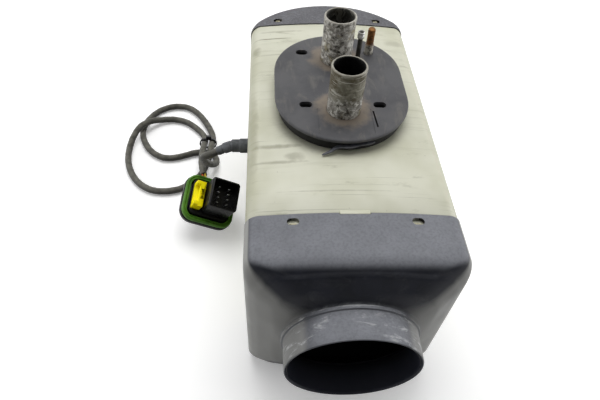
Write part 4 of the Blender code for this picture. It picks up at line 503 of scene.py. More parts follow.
# Moulded polyamide keeps a satin skin and yellows under dust
SHELL = DustyShell("moulded beige-grey polyamide", "#d0d0be", "#c3c3ad", 0.42, stains=(
    (-0.0480, 0.1372, 0.0220, 0.0030, 0.55), (-0.0360, 0.1262, 0.0090, 0.0060, 0.45),
    (-0.0470, 0.1212, 0.0240, 0.0022, 0.40), (-0.0500, 0.2755, 0.0230, 0.0013, 0.75),
    (-0.0640, 0.2580, 0.0050, 0.0090, 0.50), (-0.0420, 0.2865, 0.0260, 0.0020, 0.35),
    (-0.0100, 0.0936, 0.0500, 0.0010, 0.30), (-0.0660, 0.1500, 0.0060, 0.0600, 0.35),
    (0.0560, 0.2700, 0.0120, 0.0060, 0.30)))
# The tongues' colour is the shell's beige painted darker: painted shade of the snap holes
TONGUE = Finish("moulded beige polyamide tongue", "#b9b497", "#8f8a6e", 0.5, tone_mm=3)
# Glass-filled polyamide is nearly black, and its grain scatters a broad soft gloss
HOOD_FRONT = ScuffedHood("moulded slate-grey polyamide, rubbed", "#15171f", "#1e2029", 0.45, shine=0.22,
                         rubbed_before=along(0.0235))
# The rear hood's dust colour, partly painted light, and its side colour, painted light, are dimmer than the
# front's
HOOD_REAR = ScuffedHood("moulded slate-grey polyamide", "#1c1d22", "#26272c", 0.45, shine=0.22,
                        dust="#646366", side="#6c6b68")
# Silicone rubber is dull and holds dust
SEAL = DirtySeal("moulded dark grey silicone rubber", "#47474a", "#545456", 0.62, shine=0.3, pipes=PIPE_AXES)
SEAL_EDGE = Finish("torn silicone rubber", "#4d4f55", "#3a3c41", 0.6, tone_mm=4)
GLAND = Finish("moulded grey rubber", "#606366", "#4a4c4f", 0.6, tone_mm=6, shine=0.3)
SIDE_COVER = Finish("moulded dark grey polyamide", "#4a4c50", "#3c3e42", 0.45)
# Exhaust and air pipes are stainless tube that salt and heat have crusted
EXHAUST = CorrodedPipe("corroded stainless exhaust tube", "#8f8a80", "#5a564e", 0.6, axis=PIPE_AXES[0],
                       crusted_below=SEAL_TOP + 0.0150)
AIR_PIPE = CorrodedPipe("corroded stainless air tube", "#8f8a80", "#5a564e", 0.6, axis=PIPE_AXES[1],
                        sooty=False)
FUEL_TUBE = Finish("drawn steel fuel tube, stained", "#2c2b29", "#4a473f", 0.5, 0.4, tone_mm=4)
FERRULE = Finish("crimped aluminium ferrule", "#d8d8d6", "#b5b5b2", 0.4, 0.5, tone_mm=3)
STUD = RustedThread("rusted zinc-plated stud", "#7a5036", "#a5682f", 0.75)
TAPE = ClothTape("woven polyester harness tape", "#35342f", "#45443d", 0.9)
# Plug plastics are glossy straight from a polished mould
PLUG_BLACK = Finish("moulded black polyester", "#060607", "#0c0c0e", 0.3, grain_depth_mm=0.008, shine=0.15)
PLUG_GREEN = Finish("moulded green silicone rubber", "#4f8020", "#3c6a18", 0.5, grain_depth_mm=0.01,
                    shine=0.25)
PLUG_YELLOW = Finish("moulded yellow polyester", "#fff200", "#f7e200", 0.38, grain_depth_mm=0.008, shine=0.12)
TIE_BLACK = Finish("moulded black nylon", "#0a0a0b", "#141416", 0.4, shine=0.2)
WIRE_ORANGE = Finish("extruded orange insulation", "#d8641c", "#b9501a", 0.45)
WIRE_YELLOW = Finish("extruded yellow insulation", "#dcc03c", "#c4a52c", 0.45)
WIRE_BLACK = Finish("extruded black insulation", "#161618", "#222224", 0.45)
# Die castings have a matt, faintly mottled skin
CAST = Finish("die-cast aluminium", "#a6a8aa", "#8a8b8d", 0.5, 1.0, tone_mm=6, grain_depth_mm=0.06)
HOT_STEEL = Finish("heat-tinted sheet steel", "#8a7a66", "#5c5560", 0.42, 1.0, tone_mm=12)
BRIGHT = Finish("zinc-plated steel", "#bfc2c6", "#a3a6aa", 0.32, 1.0, tone_mm=4, grain_depth_mm=0.01)
LAMINATION = Finish("stamped electrical steel", "#74787d", "#5c6064", 0.42, 0.9, grain_mm=0.5)
FERRITE = Finish("sintered ferrite", "#3a3a40", "#2e2e33", 0.5, 0.2)
FIBRE = Finish("pressed graphite fibre", "#3c3c3e", "#2c2c2e", 0.85, grain_depth_mm=0.06)
LAMINATE = Finish("lacquered glass-epoxy laminate", "#1f5a35", "#18482b", 0.3, tone_mm=5)
INNER_BLACK = Finish("moulded black polyamide", "#111113", "#1a1a1d", 0.45, shine=0.25)

FINISHED_NODES: tuple[tuple[Finish, str], ...] = (
    (SHELL, "mounting_shell cover_shell"), (HOOD_FRONT, "outlet_hood"),
    (HOOD_REAR, "intake_hood intake_grille"), (SIDE_COVER, "side_cover"),
    (SEAL, "flange_seal"), (CAST, "heat_exchanger blower_housing blower_cover"),
    (HOT_STEEL, "combustion_chamber evaporator_screen"), (FIBRE, "burner_gasket"), (LAMINATION, "stator"),
    (FERRITE, "rotor_magnet"), (LAMINATE, "circuit_board"), (GLAND, "cable_gland"), (TAPE, "cable_harness"),
    (INNER_BLACK, "combustion_impeller fan_wheel control_housing control_cover"), (EXHAUST, "exhaust_pipe"),
    (AIR_PIPE, "combustion_air_pipe"), (FUEL_TUBE, "fuel_pipe"), (FERRULE, "fuel_pipe_ferrule"),
    (STUD, "mounting_stud"), (TIE_BLACK, "cable_tie"), (PLUG_GREEN, "plug_seal"),
    (PLUG_BLACK, "plug_flange connector_base connector_housing"), (PLUG_YELLOW, "secondary_lock"),
    (WIRE_ORANGE, "wire_orange"), (WIRE_YELLOW, "wire_yellow"), (WIRE_BLACK, "wire_black"),
    (BRIGHT, "glow_plug motor_can front_bearing rear_bearing motor_shaft overheat_sensor sensor_clip "
             "burner_screw_1 burner_screw_2 burner_screw_3 burner_screw_4 motor_screw_1 motor_screw_2 "
             "motor_screw_3 control_screw_1 control_screw_2"),
)
CAD_FINISHES: dict[str, Finish] = {node: finish for finish, nodes in FINISHED_NODES for node in nodes.split()}


# Modelling


def arc(cx: float, cy: float, radius: float, start: float, end: float, steps: int) -> Outline:
    """Points of an arc from one angle to another, both ends included.

    Args:
        cx: Centre, across.
        cy: Centre, along.
        radius: Radius.
        start: First angle, in radians.
        end: Last angle.
        steps: Chords of the arc.

    Returns:
        The points.
    """
    angles = [start + (end - start) * i / steps for i in range(steps + 1)]
    return [(cx + radius * math.cos(a), cy + radius * math.sin(a)) for a in angles]


def smooth_line(points: Sequence[Vector], step: float) -> list[Vector]:
    """Even steps along a smooth curve through given points.

    Args:
        points: Points that the curve passes through.
        step: Distance between the points returned, in metres.

    Returns:
        Points along the curve, both ends included.
    """
    knots = [points[0] * 2 - points[1], *points, points[-1] * 2 - points[-2]]
    fine: list[Vector] = []
    for a, b, c, d in zip(knots, knots[1:], knots[2:], knots[3:]):
        for i in range(24):
            t = i / 24
            fine.append(0.5 * (2 * b + (c - a) * t + (2 * a - 5 * b + 4 * c - d) * t ** 2
                               + (3 * b - a - 3 * c + d) * t ** 3))
    fine.append(points[-1].copy())
    lengths = [0.0]
    for first, second in zip(fine, fine[1:]):
        lengths.append(lengths[-1] + (second - first).length)
    count = max(2, round(lengths[-1] / step))
    even, reached = [], 0
    for i in range(count + 1):
        wanted = lengths[-1] * i / count
        while reached < len(fine) - 2 and lengths[reached + 1] < wanted:
            reached += 1
        span = lengths[reached + 1] - lengths[reached] or 1.0
        even.append(fine[reached].lerp(fine[reached + 1], (wanted - lengths[reached]) / span))
    return even


def only(piece: bpy.types.Object) -> None:
    """Select one object and make it active, with everything else deselected."""
    bpy.ops.object.select_all(action="DESELECT")
    piece.select_set(True)
    bpy.context.view_layer.objects.active = piece


def drawn_through(name: str, rings: Sequence[Ring], capped: bool = False,
                  joined: bool = False) -> bpy.types.Object:
    """Skin drawn through outlines: a circle whose edge loop is extruded again and again.

    Args:
        name: Name of the piece.
        rings: Closed outlines with the same number of points, in order.
        capped: Whether the first and the last outline are closed with a face.
        joined: Whether the last outline meets the first, as in a tube's wall.

    Returns:
        The piece, with outward normals.
    """
    bpy.ops.object.select_all(action="DESELECT")
    bpy.ops.mesh.primitive_circle_add(vertices=len(rings[0]), radius=1.0)
    piece = bpy.context.object
    piece.name = piece.data.name = name
    bpy.ops.object.mode_set(mode="EDIT")
    mesh = bmesh.from_edit_mesh(piece.data)
    mesh.verts.ensure_lookup_table()
    loop = [vertex.index for vertex in mesh.verts]
    for index, point in zip(loop, rings[0]):
        mesh.verts[index].co = point
    for ring in rings[1:]:
        places = {tuple(round(c, 8) for c in mesh.verts[index].co): i for i, index in enumerate(loop)}
        bpy.ops.mesh.extrude_region_move()
        mesh = bmesh.from_edit_mesh(piece.data)
        mesh.verts.ensure_lookup_table()
        mesh.verts.index_update()
        fresh = [0] * len(loop)
        for vertex in mesh.verts:
            if vertex.select:
                fresh[places[tuple(round(c, 8) for c in vertex.co)]] = vertex.index
        loop = fresh
        for index, point in zip(loop, ring):
            mesh.verts[index].co = point
    if capped:
        bpy.ops.mesh.edge_face_add()
        bpy.ops.mesh.select_all(action="DESELECT")
        mesh = bmesh.from_edit_mesh(piece.data)
        mesh.verts.ensure_lookup_table()
        for edge in mesh.edges:
            if edge.is_boundary:
                edge.select_set(True)
        bpy.ops.mesh.edge_face_add()
    bpy.ops.mesh.select_all(action="SELECT")
    if joined:
        bpy.ops.mesh.remove_doubles(threshold=0.000001)
    bpy.ops.mesh.normals_make_consistent(inside=False)
    bpy.ops.object.mode_set(mode="OBJECT")
    return piece


def round_rings(profile: Sequence[tuple[float, float]], centre: Sequence[float], steps: int,
                axis: Vector = Vector((0, 0, 1)),
                shape: Callable[[float, float], float] | None = None) -> list[Ring]:
    """Rings of a turned piece.

    Args:
        profile: Radius and distance along the axis of each ring.
        centre: Point of the axis that distances start from.
        steps: Points of a ring.
        axis: Direction of the axis.
        shape: Added to the radius, from the angle and the distance along the axis.

    Returns:
        The rings as points.
    """
    turn = Vector((0, 0, 1)).rotation_difference(axis.normalized()).to_matrix()
    rings = []
    for radius, distance in profile:
        ring = []
        for i in range(steps):
            angle = math.tau * i / steps
            reach = radius + (shape(angle, distance) if shape else 0.0)
            spoke = Vector((reach * math.cos(angle), reach * math.sin(angle), distance))
            ring.append(Vector(centre) + turn @ spoke)
        rings.append(ring)
    return rings


def apply_all(piece: bpy.types.Object) -> None:
    """Apply a piece's modifiers in their order."""
    only(piece)
    for modifier in list(piece.modifiers):
        bpy.ops.object.modifier_apply(modifier=modifier.name)


def combine(piece: bpy.types.Object, tool: bpy.types.Object, operation: str) -> None:
    """Cut a tool out of a piece or add it, then delete the tool."""
    modifier = piece.modifiers.new(operation.lower(), "BOOLEAN")
    modifier.operation = operation
    modifier.object = tool
    modifier.solver = "EXACT"
    apply_all(piece)
    bpy.data.objects.remove(tool)


def cut(piece: bpy.types.Object, *tools: bpy.types.Object) -> None:
    """Cut tools out of a piece, one after the other."""
    for tool in tools:
        combine(piece, tool, "DIFFERENCE")


def thicken(piece: bpy.types.Object, wall: float) -> None:
    """Give an open skin its wall, on the inside."""
    modifier = piece.modifiers.new("wall", "SOLIDIFY")
    modifier.thickness = wall
    modifier.offset = -1.0
    modifier.use_even_offset = True
    apply_all(piece)


def smooth(piece: bpy.types.Object, degrees: float = 35.0) -> None:
    """Shade smoothly across edges that turn less than the angle."""
    only(piece)
    bpy.ops.object.shade_smooth_by_angle(angle=math.radians(degrees))


def bevelled(piece: bpy.types.Object, width: float, segments: int = 2, degrees: float = 40.0) -> None:
    """Round a piece's sharp edges.

    Args:
        piece: The piece.
        width: Width of the rounding.
        segments: Faces across it.
        degrees: Edges that turn more than this are rounded.
    """
    modifier = piece.modifiers.new("rounding", "BEVEL")
    modifier.width = width
    modifier.segments = segments
    modifier.limit_method = "ANGLE"
    modifier.angle_limit = math.radians(degrees)
    apply_all(piece)


def merged_copy(node: str, name: str) -> bpy.types.Object:
    """Own copy of a CAD node's mesh, with its loose triangles merged.

    Args:
        node: Name of the CAD node.
        name: Name of the copy.

    Returns:
        The copy.
    """
    source = bpy.data.objects[node]
    piece = bpy.data.objects.new(name, source.data.copy())
    bpy.context.scene.collection.objects.link(piece)
    piece.matrix_world = Matrix.Identity(4)
    only(piece)
    bpy.ops.object.mode_set(mode="EDIT")
    bpy.ops.mesh.select_all(action="SELECT")
    bpy.ops.mesh.remove_doubles(threshold=0.00002)
    bpy.ops.mesh.dissolve_limited(angle_limit=math.radians(0.5))
    bpy.ops.object.mode_set(mode="OBJECT")
    return piece


def upper_half(half: float, top: float, corner: float, inset: float = 0.0) -> Outline:
    """Upper half of the body's section, from the right parting edge over the crown to the left one.

    Args:
        half: Half the width.
        top: Height of the crown.
        corner: Corner radius.
        inset: Distance inside the visible skin.

    Returns:
        Points across and up.
    """
    half, top, radius = half - inset, top - inset, max(corner - inset, 0.002)
    flat, edge = half - radius, top - CROWN
    low = edge - radius
    side = [(half, PARTING + (low - PARTING) * i / 6) for i in range(6)]
    right = arc(flat, low, radius, 0, math.pi / 2, 9)
    crest = [(flat * (1 - i / 10), edge + CROWN * (1 - (1 - i / 10) ** 2)) for i in range(1, 20)]
    return side + right + crest + [(-x, z) for x, z in reversed(side + right)]


def lower_half(half: float, corner: float, inset: float = 0.0) -> Outline:
    """Lower half of the body's section, from the left parting edge under the flat base to the right.

    Args:
        half: Half the width.
        corner: Corner radius.
        inset: Distance inside the visible skin.

    Returns:
        Points across and up.
    """
    half, radius = half - inset, max(corner - inset, 0.002)
    flat = half - radius
    side = [(-half, PARTING + (inset + radius - PARTING) * i / 6) for i in range(6)]
    left = arc(-flat, inset + radius, radius, math.pi, math.pi * 1.5, 9)
    base = [(-flat * (1 - i / 10), inset) for i in range(1, 20)]
    return side + left + base + [(-x, z) for x, z in reversed(side + left)]


def whole_section(half: float, top: float, corner: float, inset: float = 0.0) -> Outline:
    """Whole section of the body, counter-clockwise as seen from the outlet."""
    return lower_half(half, corner, inset)[:-1] + upper_half(half, top, corner, inset)[:-1]


def at_station(outline: Outline, station: float) -> Ring:
    """Section points placed at a station."""
    return [Vector((x, along(station), z)) for x, z in outline]


def stadium(radius: float, height: float, steps: int = 30) -> Ring:
    """Plan outline of the mounting foot and its seal, at a height."""
    outline = (arc(0, along(FOOT_ENDS[1]), radius, 0, math.pi, steps)
               + arc(0, along(FOOT_ENDS[0]), radius, math.pi, math.tau, steps))
    return [Vector((x, y, height)) for x, y in outline]


def rounded(width: float, depth: float, radius: float, steps: int = 8) -> Outline:
    """Counter-clockwise rounded rectangle about its middle.

    Args:
        width: Whole width.
        depth: Whole depth.
        radius: Corner radius.
        steps: Chords of a corner.

    Returns:
        The points.
    """
    x, y = width / 2 - radius, depth / 2 - radius
    quarter = math.pi / 2
    points: Outline = []
    for i, (sx, sy) in enumerate(((1, 1), (-1, 1), (-1, -1), (1, -1))):
        points += arc(sx * x, sy * y, radius, i * quarter, (i + 1) * quarter, steps)
    return points


def box(name: str, low: Sequence[float], high: Sequence[float],
        frame: Matrix | None = None) -> bpy.types.Object:
    """Cube stretched between two corners, in a frame of its own.

    Args:
        name: Its name.
        low: Least corner.
        high: Greatest corner.
        frame: Frame of the corners, the row frame if none is given.

    Returns:
        The piece.
    """
    bpy.ops.object.select_all(action="DESELECT")
    bpy.ops.mesh.primitive_cube_add(size=1)
    piece = bpy.context.object
    piece.name = piece.data.name = name
    size = [b - a for a, b in zip(low, high)]
    middle = [(a + b) / 2 for a, b in zip(low, high)]
    bpy.ops.object.mode_set(mode="EDIT")
    bpy.ops.transform.resize(value=size)
    bpy.ops.object.mode_set(mode="OBJECT")
    piece.data.transform((frame or Matrix.Identity(4)) @ Matrix.Translation(middle))
    return piece


def prism(name: str, outline: Outline, low: float, high: float,
          frame: Matrix | None = None) -> bpy.types.Object:
    """Upright prism over an outline, in a frame of its own."""
    frame = frame or Matrix.Identity(4)
    return drawn_through(name, [[frame @ Vector((x, y, z)) for x, y in outline] for z in (low, high)],
                         capped=True)


def post(name: str, x: float, y: float, radius: float, low: float, high: float,
         steps: int = 32) -> bpy.types.Object:
    """Upright round cutter."""
    return drawn_through(name, round_rings([(radius, low), (radius, high)], (x, y, 0), steps), capped=True)


def sweep(points: Sequence[Vector], radii: Sequence[float], around: int) -> list[Ring]:
    """Round rings square to a line, untwisted along it.

    Args:
        points: Middle line.
        radii: Radius at each point.
        around: Points of a ring.

    Returns:
        The rings.
    """
    rings = []
    side = (points[1] - points[0]).orthogonal().normalized()
    for i, (point, radius) in enumerate(zip(points, radii)):
        tangent = (points[min(i + 1, len(points) - 1)] - points[max(i - 1, 0)]).normalized()
        side = (side - tangent * side.dot(tangent)).normalized()
        other = tangent.cross(side)
        rings.append([point + (side * math.cos(a) + other * math.sin(a)) * radius
                      for a in (math.tau * j / around for j in range(around))])
    return rings


def join(pieces: Sequence[bpy.types.Object]) -> bpy.types.Object:
    """Make one object of several; the first keeps its name.

    Args:
        pieces: The pieces, the first one kept.

    Returns:
        The joined piece.
    """
    bpy.ops.object.select_all(action="DESELECT")
    for piece in pieces:
        piece.select_set(True)
    bpy.context.view_layer.objects.active = pieces[0]
    bpy.ops.object.join()
    return pieces[0]


@dataclass
class Assembly:
    """A group of pieces that are made and dressed together."""

    body: str = BODY

    def add(self, piece: bpy.types.Object, finish: Finish, slot: str, replaces: Sequence[str] = (),
            body: str | None = None) -> bpy.types.Object:
        """Dress a new piece, let it ride on its body and log it.

        Args:
            piece: The finished piece, in the row frame.
            finish: Its finish.
            slot: The record's material slot; not used.
            replaces: CAD nodes that the piece stands for.
            body: CAD body that it rides on, if not the assembly's.

        Returns:
            The piece.
        """
        piece.data.materials.clear()
        piece.data.materials.append(finish.material())
        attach(piece, body or self.body)
        if replaces:
            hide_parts(*replaces)
        log.info("%s: %s%s", piece.name, finish.name, f", for {', '.join(replaces)}" if replaces else "")
        return piece


@dataclass
class Studio:
    """White table, soft light and the camera of the photograph."""

    focal_px: float = 492.46
    frame_px: tuple[int, int] = (600, 400)
    centre_px: tuple[float, float] = (281.59, 227.59)
    place: tuple[float, float, float] = (-0.055087, -0.122443 - 0.1855, 0.375314)
    yaw: float = 0.0470
    pitch: float = 0.9046
    roll: float = 0.0350
    floor_glow: float = 0.22

    def build_camera(self) -> None:
        """Set the camera by the photograph's fitted view."""
        forward = Vector((math.sin(self.yaw) * math.cos(self.pitch),
                          math.cos(self.yaw) * math.cos(self.pitch), -math.sin(self.pitch)))
        level = Vector((math.cos(self.yaw), -math.sin(self.yaw), 0))
        above = level.cross(forward)
        right = math.cos(self.roll) * level + math.sin(self.roll) * above
        up = -math.sin(self.roll) * level + math.cos(self.roll) * above
        bpy.ops.object.camera_add()
        camera = bpy.context.object
        camera.matrix_world = (Matrix.Translation(self.place)
                               @ Matrix((right, up, -forward)).transposed().to_4x4())
        lens = camera.data
        lens.sensor_fit = "HORIZONTAL"
        lens.sensor_width = 36.0
        width, height = self.frame_px
        lens.lens = self.focal_px / width * lens.sensor_width
        lens.shift_x = (width / 2 - self.centre_px[0]) / width
        lens.shift_y = (self.centre_px[1] - height / 2) / width
        lens.clip_start = 0.01
        bpy.context.scene.camera = camera

    def build_floor(self) -> None:
        """White table top that keeps the heater's shadow."""
        bpy.ops.object.select_all(action="DESELECT")
        bpy.ops.mesh.primitive_grid_add(x_subdivisions=4, y_subdivisions=4, size=14, location=(0, 0, -0.0002))
        floor = bpy.context.object
        floor.name = "table_top"
        painter = Painter("white laminate table top")
        rays = add_node(painter.tree, "ShaderNodeLightPath").outputs
        seen = painter.maths("MAXIMUM", rays["Is Camera Ray"],
                             painter.maths("MAXIMUM", rays["Is Glossy Ray"], rays["Is Transmission Ray"]))
        colour = painter.mix(seen, "#c9c9c9", "#ffffff")
        radius = painter.from_axis(0.0, 0.0)
        glow = painter.maths("MULTIPLY", seen, painter.ramp(radius, 0.45, 1.5, self.floor_glow, 1.0))
        floor.data.materials.append(painter.finish(colour, 0.9, Specular_IOR_Level=0.0,
                                                   Emission_Color=linear("#ffffff"), Emission_Strength=glow))

    def add_softbox(self, name: str, place: Sequence[float], aim: Sequence[float], size: float,
                    watts: float) -> None:
        """One square area light that looks at a point.

        Args:
            name: Name of the lamp.
            place: Where it hangs.
            aim: What it looks at.
            size: Length of its side.
            watts: Its power.
        """
        turn = (Vector(aim) - Vector(place)).to_track_quat("-Z", "Y").to_euler()
        bpy.ops.object.light_add(type="AREA", location=place, rotation=turn)
        lamp = bpy.context.object
        lamp.name = name
        lamp.data.size = size
        lamp.data.energy = watts

    def build_light(self) -> None:
        """Large soft boxes above and behind, and a white world."""
        self.add_softbox("softbox_above", (0.0, 0.55, 1.7), (0, 0, 0.1), 1.3, 21)
        self.add_softbox("softbox_left", (-1.3, 0.15, 0.30), (0, 0, 0.07), 0.8, 7)
        self.add_softbox("softbox_right", (1.3, 0.15, 0.30), (0, 0, 0.07), 0.8, 8)
        world = bpy.data.worlds.new("studio")
        bpy.context.scene.world = world
        world.use_nodes = True
        tree = world.node_tree
        tree.nodes.clear()
        rays = add_node(tree, "ShaderNodeLightPath").outputs
        seen = add_node(tree, "ShaderNodeMath", {0: rays["Is Camera Ray"], 1: rays["Is Transmission Ray"]},
                        operation="MAXIMUM").outputs[0]
        direction = add_node(tree, "ShaderNodeTexCoord").outputs["Generated"]
        depth = add_node(tree, "ShaderNodeSeparateXYZ", {0: direction}).outputs["Y"]

        def mapped(inputs: dict) -> bpy.types.NodeSocket:
            """Linear map of input 0 from inputs 1 and 2 to inputs 3 and 4."""
            return add_node(tree, "ShaderNodeMapRange", inputs).outputs[0]

        tent = mapped({0: depth, 1: -0.9, 2: 0.6, 3: 0.06, 4: 0.42})
        shown = mapped({0: depth, 1: -0.95, 2: -0.1, 3: 0.12, 4: 1.0})
        mirrored = mapped({0: rays["Is Glossy Ray"], 3: tent, 4: shown})
        strength = mapped({0: seen, 3: mirrored, 4: 1.0})
        back = add_node(tree, "ShaderNodeBackground", {"Color": linear("#ffffff"), "Strength": strength})
        add_node(tree, "ShaderNodeOutputWorld", {"Surface": back.outputs[0]})

    def build(self) -> None:
        """Camera, table and light, with plain display settings."""
        self.build_camera()
        self.build_floor()
        self.build_light()
        bpy.context.scene.view_settings.view_transform = "Standard"
        log.info("studio: camera, table top, three softboxes")


# Middle line of the taped cable on the table, from the gland to the plug's wires
HARNESS_ROUTE = (
    (-0.1002, 0.0260, 0.0633), (-0.1062, 0.0260, 0.0598), (-0.1120, 0.0280, 0.0558),
    (-0.1155, 0.0325, 0.0488), (-0.1163, 0.0395, 0.0395), (-0.1150, 0.0490, 0.0265),
    (-0.1120, 0.0585, 0.0145), (-0.1092, 0.0680, 0.0068), (-0.1095, 0.0765, 0.0038),
    (-0.1125, 0.0830, 0.0035), (-0.1178, 0.0868, 0.0035), (-0.1245, 0.0882, 0.0035),
    (-0.1345, 0.0868, 0.0035), (-0.1440, 0.0830, 0.0035), (-0.1550, 0.0795, 0.0035),
    (-0.1670, 0.0800, 0.0035), (-0.1790, 0.0880, 0.0035), (-0.1880, 0.1010, 0.0035),
    (-0.1935, 0.1160, 0.0035), (-0.1938, 0.1320, 0.0035), (-0.1880, 0.1475, 0.0035),
    (-0.1780, 0.1595, 0.0035), (-0.1640, 0.1660, 0.0035), (-0.1480, 0.1640, 0.0035),
    (-0.1345, 0.1520, 0.0035), (-0.1235, 0.1340, 0.0035), (-0.1175, 0.1200, 0.0035),
    (-0.1155, 0.1120, 0.0038), (-0.1153, 0.1045, 0.0054), (-0.1153, 0.0980, 0.0077),
    (-0.1153, 0.0920, 0.0099), (-0.1154, 0.0850, 0.0112), (-0.1161, 0.0770, 0.0107),
    (-0.1180, 0.0690, 0.0084), (-0.1213, 0.0600, 0.0053), (-0.1265, 0.0505, 0.0036),
    (-0.1345, 0.0405, 0.0035), (-0.1460, 0.0335, 0.0035), (-0.1600, 0.0310, 0.0035),
    (-0.1740, 0.0335, 0.0035), (-0.1870, 0.0430, 0.0035), (-0.1970, 0.0580, 0.0035),
    (-0.2030, 0.0760, 0.0035), (-0.2042, 0.0935, 0.0048), (-0.2010, 0.1085, 0.0090),
    (-0.1950, 0.1215, 0.0114), (-0.1860, 0.1325, 0.0092), (-0.1750, 0.1400, 0.0050),
    (-0.1610, 0.1425, 0.0035), (-0.1460, 0.1370, 0.0035), (-0.1335, 0.1255, 0.0035),
    (-0.1258, 0.1145, 0.0037), (-0.1235, 0.1055, 0.0050), (-0.1233, 0.0980, 0.0076),
    (-0.1233, 0.0920, 0.0102), (-0.1233, 0.0850, 0.0124), (-0.1233, 0.0770, 0.0139),
    (-0.1231, 0.0680, 0.0147), (-0.1223, 0.0580, 0.0155), (-0.1204, 0.0480, 0.0170),
    (-0.1183, 0.0390, 0.0190),
)


@dataclass
class Harness(Assembly):
    """The taped cable from the gland to the plug."""

    diameter: float = 0.0070
    tape_pitch: float = 0.0100
    tape_step: float = 0.00022
    step: float = 0.0016
    around: int = 20

    def line(self) -> list[Vector]:
        """Middle line of the cable, from the gland to the plug's wires."""
        return smooth_line([Vector(p) for p in HARNESS_ROUTE], self.step)

    def build_cable(self) -> None:
        """Cable whose surface shows the turns of the tape."""
        line = self.line()
        last = len(line) - 1
        tangents = [(line[min(i + 1, last)] - line[max(i - 1, 0)]).normalized() for i in range(len(line))]
        side = tangents[0].orthogonal().normalized()
        rings, travelled = [], 0.0
        for i, (point, tangent) in enumerate(zip(line, tangents)):
            side = (side - tangent * side.dot(tangent)).normalized()
            other = tangent.cross(side)
            if i:
                travelled += (point - line[i - 1]).length
            ring = []
            for j in range(self.around):
                angle = math.tau * j / self.around
                phase = (travelled / self.tape_pitch - angle / math.tau) % 1.0
                lump = noise.noise(Vector((travelled * 70, 3.1, 0.4))) * 0.00012
                radius = self.diameter / 2 - self.tape_step * phase + lump - 0.00006
                ring.append(point + (side * math.cos(angle) + other * math.sin(angle)) * radius)
            rings.append(ring)
        cable = drawn_through("taped_cable", rings, capped=True)
        self.wrap(cable)
        smooth(cable, 50)
        self.add(cable, TAPE, "harness_tape", ["cable_harness"])

    def wrap(self, cable: bpy.types.Object) -> None:
        """Lay the cable's UV map along its length, one unit for each turn of tape."""
        layer = cable.data.uv_layers.new(name="along")
        count = self.around
        rings = len(cable.data.vertices) // count
        for polygon in cable.data.polygons:
            for loop in polygon.loop_indices:
                index = cable.data.loops[loop].vertex_index
                layer.data[loop].uv = ((index // count) / max(rings - 1, 1) * 70, (index % count) / count)

    def build(self) -> None:
        """Build the cable."""
        self.build_cable()


